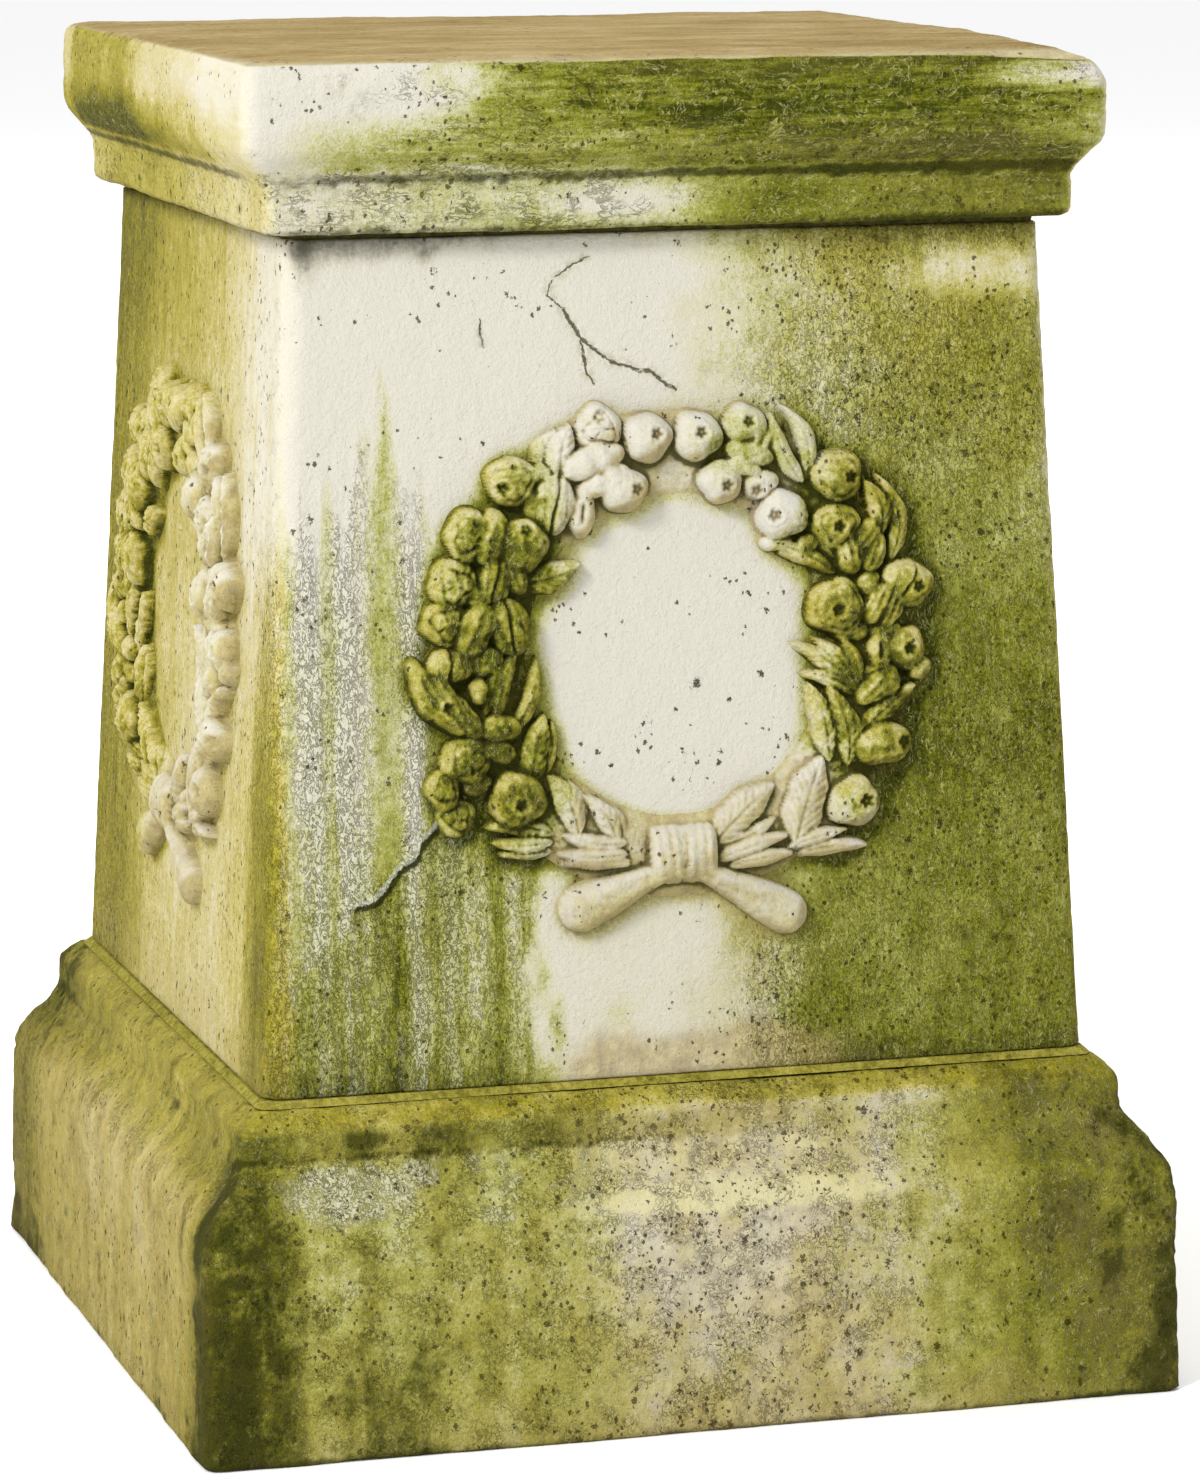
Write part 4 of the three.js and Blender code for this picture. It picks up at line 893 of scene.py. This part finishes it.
# ------------------------------------------------------------------ materials
class Tree:
    def __init__(self, name):
        self.mat = bpy.data.materials.new(name)
        self.mat.use_nodes = True
        self.t = self.mat.node_tree
        self.bsdf = self.t.nodes["Principled BSDF"]
        self.bsdf.inputs["Specular IOR Level"].default_value = 0.04
        self.coord = self.t.nodes.new("ShaderNodeTexCoord").outputs["Object"]
        self.mm = self.vec("MULTIPLY", self.coord, (1000, 1000, 1000))

    def put(self, socket, value):
        if isinstance(value, bpy.types.NodeSocket):
            self.t.links.new(value, socket)
        else:
            if hasattr(socket.default_value, "__len__"):
                v = tuple(value)
                socket.default_value = v + (1.0,) * (len(socket.default_value) - len(v))
            else:
                socket.default_value = value

    def vec(self, op, a, b):
        n = self.t.nodes.new("ShaderNodeVectorMath")
        n.operation = op
        self.put(n.inputs[0], a)
        self.put(n.inputs[1], b)
        return n.outputs[0]

    def m(self, op, a, b=None, c=None, clamp=False):
        n = self.t.nodes.new("ShaderNodeMath")
        n.operation = op
        n.use_clamp = clamp
        for s, v in zip(n.inputs, (a, b, c)):
            if v is not None:
                self.put(s, v)
        return n.outputs[0]

    def add(self, *v):
        out = v[0]
        for x in v[1:]:
            out = self.m("ADD", out, x)
        return out

    def mul(self, *v):
        out = v[0]
        for x in v[1:]:
            out = self.m("MULTIPLY", out, x)
        return out

    def off(self, x, scale, mid=0.5):
        """scale * (x - mid)"""
        return self.m("MULTIPLY_ADD", x, scale, -mid * scale)

    def step(self, x, lo, hi, a=0.0, b=1.0):
        n = self.t.nodes.new("ShaderNodeMapRange")
        n.interpolation_type = "SMOOTHSTEP"
        self.put(n.inputs["Value"], x)
        self.put(n.inputs["From Min"], lo)
        self.put(n.inputs["From Max"], hi)
        self.put(n.inputs["To Min"], a)
        self.put(n.inputs["To Max"], b)
        return n.outputs["Result"]

    def noise(self, size, stretch=(1, 1, 1), detail=2.0, rough=0.5, distort=0.0, seed=0):
        v = self.vec("MULTIPLY", self.mm, tuple(s / size for s in stretch))
        v = self.vec("ADD", v, (seed * 3.7, seed * 1.9, seed * 5.3))
        n = self.t.nodes.new("ShaderNodeTexNoise")
        n.inputs["Scale"].default_value = 1.0
        n.inputs["Detail"].default_value = detail
        n.inputs["Roughness"].default_value = rough
        n.inputs["Distortion"].default_value = distort
        self.put(n.inputs["Vector"], v)
        return n.outputs["Fac"]

    def cells(self, size, stretch=(1, 1, 1), seed=0, feature="F1", warp=None):
        v = self.vec("MULTIPLY", self.mm, tuple(s / size for s in stretch))
        v = self.vec("ADD", v, (seed * 3.7, seed * 1.9, seed * 5.3))
        if warp is not None:
            v = self.vec("ADD", v, warp)
        n = self.t.nodes.new("ShaderNodeTexVoronoi")
        n.feature = feature
        n.inputs["Scale"].default_value = 1.0
        self.put(n.inputs["Vector"], v)
        return n

    def mix(self, f, a, b, blend="MIX"):
        n = self.t.nodes.new("ShaderNodeMix")
        n.data_type = "RGBA"
        n.blend_type = blend
        n.clamp_factor = True
        self.put(n.inputs[0], f)
        self.put(n.inputs[6], a)
        self.put(n.inputs[7], b)
        return n.outputs[2]

    def ramp(self, x, stops):
        n = self.t.nodes.new("ShaderNodeValToRGB")
        e = n.color_ramp.elements
        while len(e) > 1:
            e.remove(e[-1])
        e[0].position, e[0].color = stops[0][0], tuple(stops[0][1]) + (1,)
        for p, c in stops[1:]:
            s = e.new(p)
            s.color = tuple(c) + (1,)
        self.put(n.inputs[0], x)
        return n.outputs[0]

    def attr4(self, name):
        n = self.t.nodes.new("ShaderNodeAttribute")
        n.attribute_name = name
        s = self.t.nodes.new("ShaderNodeSeparateColor")
        self.t.links.new(n.outputs["Color"], s.inputs[0])
        return s.outputs[0], s.outputs[1], s.outputs[2], n.outputs["Alpha"]

    def attr(self, name):
        n = self.t.nodes.new("ShaderNodeAttribute")
        n.attribute_name = name
        return n.outputs["Fac"]

    def bump(self, height, distance, strength=1.0):
        n = self.t.nodes.new("ShaderNodeBump")
        n.inputs["Strength"].default_value = strength
        n.inputs["Distance"].default_value = distance
        self.put(n.inputs["Height"], height)
        self.t.links.new(n.outputs["Normal"], self.bsdf.inputs["Normal"])


ALBEDO = 0.655


def srgb(r, g, b):
    f = lambda c: (c / 255 / 12.92) if c / 255 <= 0.04045 else ((c / 255 + 0.055) / 1.055) ** 2.4
    return (f(r) * ALBEDO, f(g) * ALBEDO, f(b) * ALBEDO)


def stone(name, kind):
    T = Tree(name)
    green, dark, lichen, pits = T.attr4("stain")
    tan, streaks, lime, light = T.attr4("tone")
    inv = lambda v: T.m("SUBTRACT", 1.0, v)
    nF = T.noise(0.9, detail=2, seed=1)
    nS = T.noise(2.3, detail=3, rough=0.65, seed=2)
    nM = T.noise(7.0, detail=4, rough=0.62, seed=3)
    nL = T.noise(30.0, detail=4, rough=0.55, seed=4)
    if kind == "cap":
        st = T.noise(2.2, (0.14, 0.14, 1.0), detail=3, rough=0.65, seed=5)
        st2 = T.noise(6.0, (0.12, 0.12, 1.0), detail=3, rough=0.6, seed=15)
        grain = (0.45, 0.45, 1.0)
    elif kind == "base":
        st = T.noise(3.4, (1.0, 1.0, 0.70), detail=3, rough=0.6, seed=5)
        st2 = T.noise(9.0, (1.0, 1.0, 0.60), detail=3, rough=0.6, seed=15)
        grain = (1.0, 1.0, 0.85)
    else:
        st = T.noise(2.6, (1.0, 1.0, 0.14), detail=3, rough=0.6, seed=5)
        st2 = T.noise(7.5, (1.0, 1.0, 0.07), detail=3, rough=0.6, seed=15)
        grain = (1.0, 1.0, 0.6)
    grown = T.step(green, 0.02, 0.26)
    # algae: a film that breaks into speckle where it thins out
    A = T.add(green, T.mul(grown, T.add(T.off(nM, 0.30), T.off(nL, 0.26), T.off(nF, 0.34), T.off(nS, 0.56))),
              T.mul(streaks, T.add(T.off(st, 0.80), T.off(st2, 1.0 if kind == "cap" else 0.65))), T.off(nL, 0.05))
    A = T.m("ADD", A, T.mul(inv(T.step(green, 0.0, 0.12)), -0.10), clamp=True)
    olive = T.ramp(A, [(0.0, srgb(222, 218, 204)), (0.10, srgb(218, 214, 190)), (0.25, srgb(203, 202, 154)), (0.42, srgb(178, 178, 102)),
                       (0.58, srgb(154, 156, 66)), (0.74, srgb(128, 131, 38)), (0.88, srgb(96, 101, 22)), (1.0, srgb(62, 70, 10))])
    limey = T.ramp(A, [(0.0, srgb(229, 223, 202)), (0.10, srgb(221, 212, 174)), (0.25, srgb(211, 199, 136)), (0.42, srgb(190, 178, 88)),
                       (0.58, srgb(170, 159, 52)), (0.74, srgb(144, 136, 30)), (0.88, srgb(110, 107, 18)), (1.0, srgb(72, 75, 10))])
    col = T.mix(T.step(T.add(lime, T.off(nL, 0.35), T.off(nM, 0.15)), 0.15, 0.95), olive, limey)
    # tan dirt, with painted shade in the wreath's cream crevices and round the wreath and tie
    tanc = T.ramp(T.add(nM, T.off(st2, 0.5), T.off(nS, 0.35)), [(0.22, srgb(130, 108, 60)), (0.5, srgb(180, 159, 102)), (0.78, srgb(220, 207, 152))])
    tm = T.m("MULTIPLY", T.step(T.add(tan, T.off(nL, 0.5), T.off(nS, 0.55)), 0.10, 1.05), 0.70)
    col = T.mix(tm, col, tanc)
    # pale patches: painted highlight on the base's upward-facing slope, paler stone on its plinth, chalky lichen on the
    # die
    lm = T.m("MULTIPLY", T.step(T.add(light, T.off(nM, 0.5), T.off(nS, 0.7)), 0.25, 0.85), 0.60)
    col = T.mix(lm, col, srgb(228, 221, 166))
    # crazed crust: thin wandering veins, dark in the hollows (the crust's dark lines with painted shade) and pale on
    # the threads (paler grain with painted highlight)
    warp = 0.9 if kind != "cap" else 0.5
    v1 = T.m("ABSOLUTE", T.m("SUBTRACT", T.noise(2.4, grain, detail=3, rough=0.6, distort=warp, seed=6), 0.5))
    v2 = T.m("ABSOLUTE", T.m("SUBTRACT", T.noise(5.0, (grain[0], grain[1], grain[2] * 0.7), detail=3, rough=0.62, distort=1.1, seed=16), 0.5))
    rough_area = T.m("ADD", T.mul(pits, 0.9), T.mul(lichen, 0.9), clamp=True)
    patch = 1.0 if kind in ("die", "wreath") else T.step(T.noise(13.0, detail=2, seed=17), 0.44, 0.60)
    vein = T.mul(patch, inv(T.step(v1, 0.0, T.m("MULTIPLY_ADD", rough_area, 0.060, 0.010))), T.step(T.add(rough_area, T.off(nM, 0.7)), 0.22, 0.75))
    thread = T.mul(inv(T.step(v2, 0.0, 0.034)), T.step(T.add(green, T.off(nM, 0.9)), 0.30, 0.75))
    # pale threads: paler grain with painted highlight on the raised threads
    col = T.mix(T.mul(thread, 0.50), col, srgb(214, 210, 132))
    shade = T.mix(T.step(green, 0.05, 0.4), srgb(156, 146, 98), srgb(84, 88, 18))
    # vein colour: the crust's dark lines with painted shade in the hollows
    col = T.mix(T.mul(vein, T.m("MULTIPLY_ADD", lichen, 0.08, 0.34)), col, shade)
    # lichen: chalky islands between the veins, running in upright bands
    band_n = T.add(T.mul(st2, 0.55), T.mul(T.noise(5.5, (1.0, 1.0, 0.75 if kind == "base" else 0.16), detail=4, rough=0.65, seed=7), 0.45))
    bandm = T.step(T.add(band_n, T.off(lichen, 0.34, 0.6)), 0.40, 0.58)
    island = T.step(v1, 0.012, 0.05)
    wm = T.mul(T.step(T.add(lichen, T.off(nM, 0.4)), 0.22, 0.85), bandm, island)
    col = T.mix(T.mul(wm, 0.62), col, srgb(222, 222, 200))
    # pits: many small ones, and clusters of larger ones
    p1 = T.noise(1.9, (1.0, 1.0, 0.8), detail=1.5, rough=0.5, distort=0.9, seed=8)
    p2 = T.noise(4.2, (1.0, 1.0, 0.85), detail=2.5, rough=0.6, distort=1.1, seed=18)
    gate = T.noise(18.0, detail=2, seed=9)
    lo1 = T.m("SUBTRACT", 0.800, T.m("MULTIPLY", T.add(pits, T.off(gate, 0.8)), 0.165))
    lo2 = T.m("SUBTRACT", 0.840, T.m("MULTIPLY", T.add(pits, T.off(gate, 1.3)), 0.190))
    pit = T.m("MAXIMUM", T.m("MULTIPLY", T.m("SUBTRACT", p1, lo1), 16.0, clamp=True), T.m("MULTIPLY", T.m("SUBTRACT", p2, lo2), 14.0, clamp=True))
    jag = T.add(T.off(nF, 0.62), T.off(nS, 0.66))
    for size, seed, r0, r1, much in ((3.2, 71, 0.11, 0.27, 0.85), (7.0, 72, 0.07, 0.20, 0.90)):
        spots = T.cells(size, (1.0, 1.0, 0.8), seed=seed)
        tone_n = T.t.nodes.new("ShaderNodeSeparateColor")
        T.t.links.new(spots.outputs["Color"], tone_n.inputs[0])
        reach = T.m("MULTIPLY_ADD", tone_n.outputs[0], r1 - r0, r0)
        hole = inv(T.step(T.m("DIVIDE", T.add(spots.outputs["Distance"], jag), reach), 0.70, 1.10))
        share = T.m("SUBTRACT", T.add(T.m("MULTIPLY", pits, much), T.off(gate, 1.6)), tone_n.outputs[1])
        pit = T.m("MAXIMUM", pit, T.mul(hole, T.step(share, 0.0, 0.04)))
    col = T.mix(T.mul(pit, 0.84), col, T.mix(T.step(nL, 0.4, 0.6), srgb(46, 45, 8), srgb(74, 64, 18)))
    # fine grain: dark and pale flecks a millimetre across
    col = T.mix(T.mul(T.step(nF, 0.56, 0.74), T.m("MULTIPLY_ADD", grown, 0.22, 0.07)), col, srgb(104, 100, 52))
    col = T.mix(T.mul(T.step(nS, 0.60, 0.74), T.m("MULTIPLY_ADD", grown, 0.20, 0.03)), col, srgb(220, 215, 146))
    # dirt, with painted shade: in the wreath's crevices and on its lower-right sides, round the wreath on the die, in
    # the groove under the cap's roll
    dirt_and_shade_mask = T.m("MULTIPLY", T.step(T.add(dark, T.off(nM, 0.28), T.off(nS, 0.42), T.off(st, 0.3)), 0.08, 0.98), 0.86)
    dirt_and_shade = T.ramp(nL, [(0.35, srgb(50, 54, 14)), (0.65, srgb(70, 66, 22))])
    dirt_and_shade = T.mix(T.step(dirt_and_shade_mask, 0.12, 0.62), srgb(138, 124, 62), dirt_and_shade)
    col = T.mix(dirt_and_shade_mask, col, dirt_and_shade)
    height = T.add(T.mul(nF, 0.30), T.mul(nS, 0.62), T.mul(T.step(A, 0.1, 0.7), T.off(nS, 0.6)), T.mul(pit, -1.1), T.mul(wm, 0.8), T.mul(vein, -0.8),
                   T.mul(thread, 0.45), T.mul(streaks, st, 0.5), T.mul(nM, 0.5))
    if kind == "cap":
        z = T.t.nodes.new("ShaderNodeSeparateXYZ")
        T.put(z.inputs[0], T.mm)
        top = T.step(T.add(z.outputs[2], T.off(nM, 1.6), T.off(nS, 1.0)), 607.4, 609.2)
        g1 = T.noise(11.0, (0.34, 1.0, 1.0), detail=5, rough=0.68, distort=0.6, seed=21)
        g2 = T.noise(48.0, (0.55, 1.0, 1.0), detail=4, rough=0.60, distort=0.4, seed=22)
        g3 = T.noise(2.4, (0.7, 1.0, 1.0), detail=3, rough=0.65, seed=23)
        topc = T.ramp(T.add(T.mul(g1, 0.45), T.mul(g2, 0.55), T.off(g3, 0.30), T.off(nS, 0.20)),
                      [(0.26, srgb(126, 104, 50)), (0.42, srgb(158, 134, 80)), (0.56, srgb(180, 158, 106)), (0.74, srgb(206, 190, 146))])
        col = T.mix(top, col, topc)
        col = T.mix(T.mul(pit, top, 0.5), col, srgb(86, 70, 30))
        height = T.add(height, T.mul(top, g1, 1.2))
    if kind == "die":
        # a scatter of lone chips in the plain field inside the front wreath
        for sx, sz, sr in ((9, 331, 2.3), (34, 370, 1.3), (42, 362, 1.1), (39, 334, 1.4), (24, 323, 1.0), (-1, 320, 0.9), (20, 300, 1.1), (19, 295, 1.2), (-31, 296, 1.0),
                           (-13, 392, 0.9), (-42, 373, 0.8), (-45, 356, 0.7), (-87, 441, 1.1), (-12, 309, 0.6), (2, 302, 0.7), (31, 352, 0.7)):
            away = T.vec("SUBTRACT", T.mm, (sx, -(192.2 - (sz - DIE_BOTTOM) * BATTER), sz))
            ln = T.t.nodes.new("ShaderNodeVectorMath")
            ln.operation = "LENGTH"
            T.put(ln.inputs[0], away)
            chip = inv(T.step(T.add(ln.outputs["Value"], T.off(nF, 3.0 * sr), T.off(nS, 3.4 * sr)), 0.40 * sr, 0.95 * sr))
            col = T.mix(T.mul(chip, 0.88), col, srgb(44, 40, 8))
            height = T.add(height, T.mul(chip, -1.4))
        for tag, wide in (("a", 0.62), ("b", 0.45), ("t", 0.5), ("r", 0.34)):
            sd, mk = T.attr("crack_" + tag), T.attr("crackm_" + tag)
            jag = T.off(T.noise(2.2, detail=3, rough=0.65, seed=31), 3.0)
            d = T.m("ABSOLUTE", T.add(sd, jag))
            w = T.m("MULTIPLY", T.noise(5.0, detail=2, seed=33), 2 * wide)
            line = T.mul(inv(T.step(T.m("DIVIDE", d, w), 0.35, 1.35)), T.step(mk, 0.4, 0.8), T.step(T.noise(5.0, detail=2, seed=36), 0.30, 0.48))
            halo = T.mul(inv(T.step(d, 0.3, 4.2)), T.step(mk, 0.4, 0.8), T.step(T.noise(3.0, detail=2, seed=34), 0.40, 0.62), 0.42)
            col = T.mix(halo, col, srgb(158, 154, 98))
            col = T.mix(T.mul(line, 0.86), col, srgb(76, 70, 28))
            height = T.add(height, T.mul(line, -1.4))
        # peeling crust edge: a pale lichen rim, and a painted shadow line below and to the right of the proud crust
        sd, mk = T.attr("crack_p"), T.attr("crackm_p")
        d = T.add(sd, T.off(T.noise(3.0, detail=3, rough=0.65, seed=35), 3.4))
        on = T.step(mk, 0.4, 0.8)
        rim = T.mul(T.step(d, -3.6, -2.2), inv(T.step(d, -0.5, 0.1)), on)
        peel_shadow = T.mul(T.step(d, -0.9, -0.2), inv(T.step(d, 1.3, 2.8)), on)
        col = T.mix(T.mul(rim, 0.70), col, srgb(220, 221, 198))
        col = T.mix(T.mul(peel_shadow, 0.92), col, srgb(52, 56, 12))
        height = T.add(height, T.mul(peel_shadow, -2.0), T.mul(rim, 0.6))
    T.put(T.bsdf.inputs["Base Color"], col)
    T.put(T.bsdf.inputs["Roughness"], inv(T.m("MULTIPLY_ADD", nM, 0.2, 0.03)))
    T.bump(height, 0.0012, 0.9)
    return T.mat


mat_die, mat_base, mat_cap, mat_wreath = stone("die_stone", "die"), stone("base_stone", "base"), stone("cap_stone", "cap"), stone("wreath_stone", "wreath")


def mossy():
    T = Tree("mossy_joint")
    n = T.noise(3.0, detail=4, rough=0.65, seed=43)
    b = T.noise(14.0, detail=3, rough=0.6, seed=45)
    f = T.noise(0.8, detail=2, seed=44)
    col = T.ramp(T.add(T.mul(n, 0.6), T.mul(b, 0.4), T.off(f, 0.25)), [(0.30, srgb(84, 84, 24)), (0.45, srgb(140, 132, 50)), (0.60, srgb(178, 168, 78)), (0.78, srgb(204, 194, 112))])
    T.put(T.bsdf.inputs["Base Color"], col)
    T.bsdf.inputs["Roughness"].default_value = 0.95
    T.bump(T.add(n, T.mul(f, 0.5)), 0.001)
    return T.mat


def mortar():
    T = Tree("bedding_mortar")
    n = T.noise(3.0, detail=4, rough=0.65, seed=41)
    f = T.noise(0.8, detail=2, seed=42)
    col = T.ramp(n, [(0.3, srgb(46, 46, 18)), (0.6, srgb(84, 80, 40)), (0.8, srgb(118, 112, 70))])
    T.put(T.bsdf.inputs["Base Color"], col)
    T.bsdf.inputs["Roughness"].default_value = 0.95
    T.bump(T.add(n, T.mul(f, 0.5)), 0.0008)
    return T.mat


def steel():
    T = Tree("stainless_bar")
    n = T.noise(0.5, (1, 1, 0.05), detail=3, seed=51)
    T.put(T.bsdf.inputs["Base Color"], T.ramp(n, [(0.3, (0.42, 0.43, 0.44)), (0.7, (0.62, 0.63, 0.64))]))
    T.bsdf.inputs["Metallic"].default_value = 1.0
    T.bsdf.inputs["Specular IOR Level"].default_value = 0.5
    T.put(T.bsdf.inputs["Roughness"], T.m("MULTIPLY_ADD", n, 0.2, 0.22))
    T.bump(n, 0.00005)
    return T.mat


def shim():
    T = Tree("shim_plastic")
    n = T.noise(0.9, detail=3, seed=61)
    T.put(T.bsdf.inputs["Base Color"], T.ramp(n, [(0.3, (0.018, 0.018, 0.02)), (0.7, (0.04, 0.04, 0.044))]))
    T.bsdf.inputs["Roughness"].default_value = 0.5
    T.bsdf.inputs["Specular IOR Level"].default_value = 0.4
    T.bump(n, 0.0001)
    return T.mat


m_mossy, m_mortar, m_steel, m_shim = mossy(), mortar(), steel(), shim()
for o, mat, slot, node in [(o_base, mat_base, "stone_base", "base"), (o_die, mat_die, "stone_die", "die"), (o_cap, mat_cap, "stone_cap", "cap")] + \
        [(w, mat_wreath, "stone_wreath", "wreath_" + s) for w, s in zip(wreaths, FACES)]:
    o.data.materials.append(mat)
    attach(o, "root")
    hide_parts(node)
for name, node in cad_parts.items():
    mat = None
    if name == "lower_bed":
        mat = m_mossy
    elif name == "upper_bed":
        mat = m_mortar
    elif "dowel" in name or "pin" in name:
        mat = m_steel
    elif "shim" in name:
        mat = m_shim
    if mat is not None:
        if node.data.materials:
            for i in range(len(node.data.materials)):
                node.data.materials[i] = mat
        else:
            node.data.materials.append(mat)
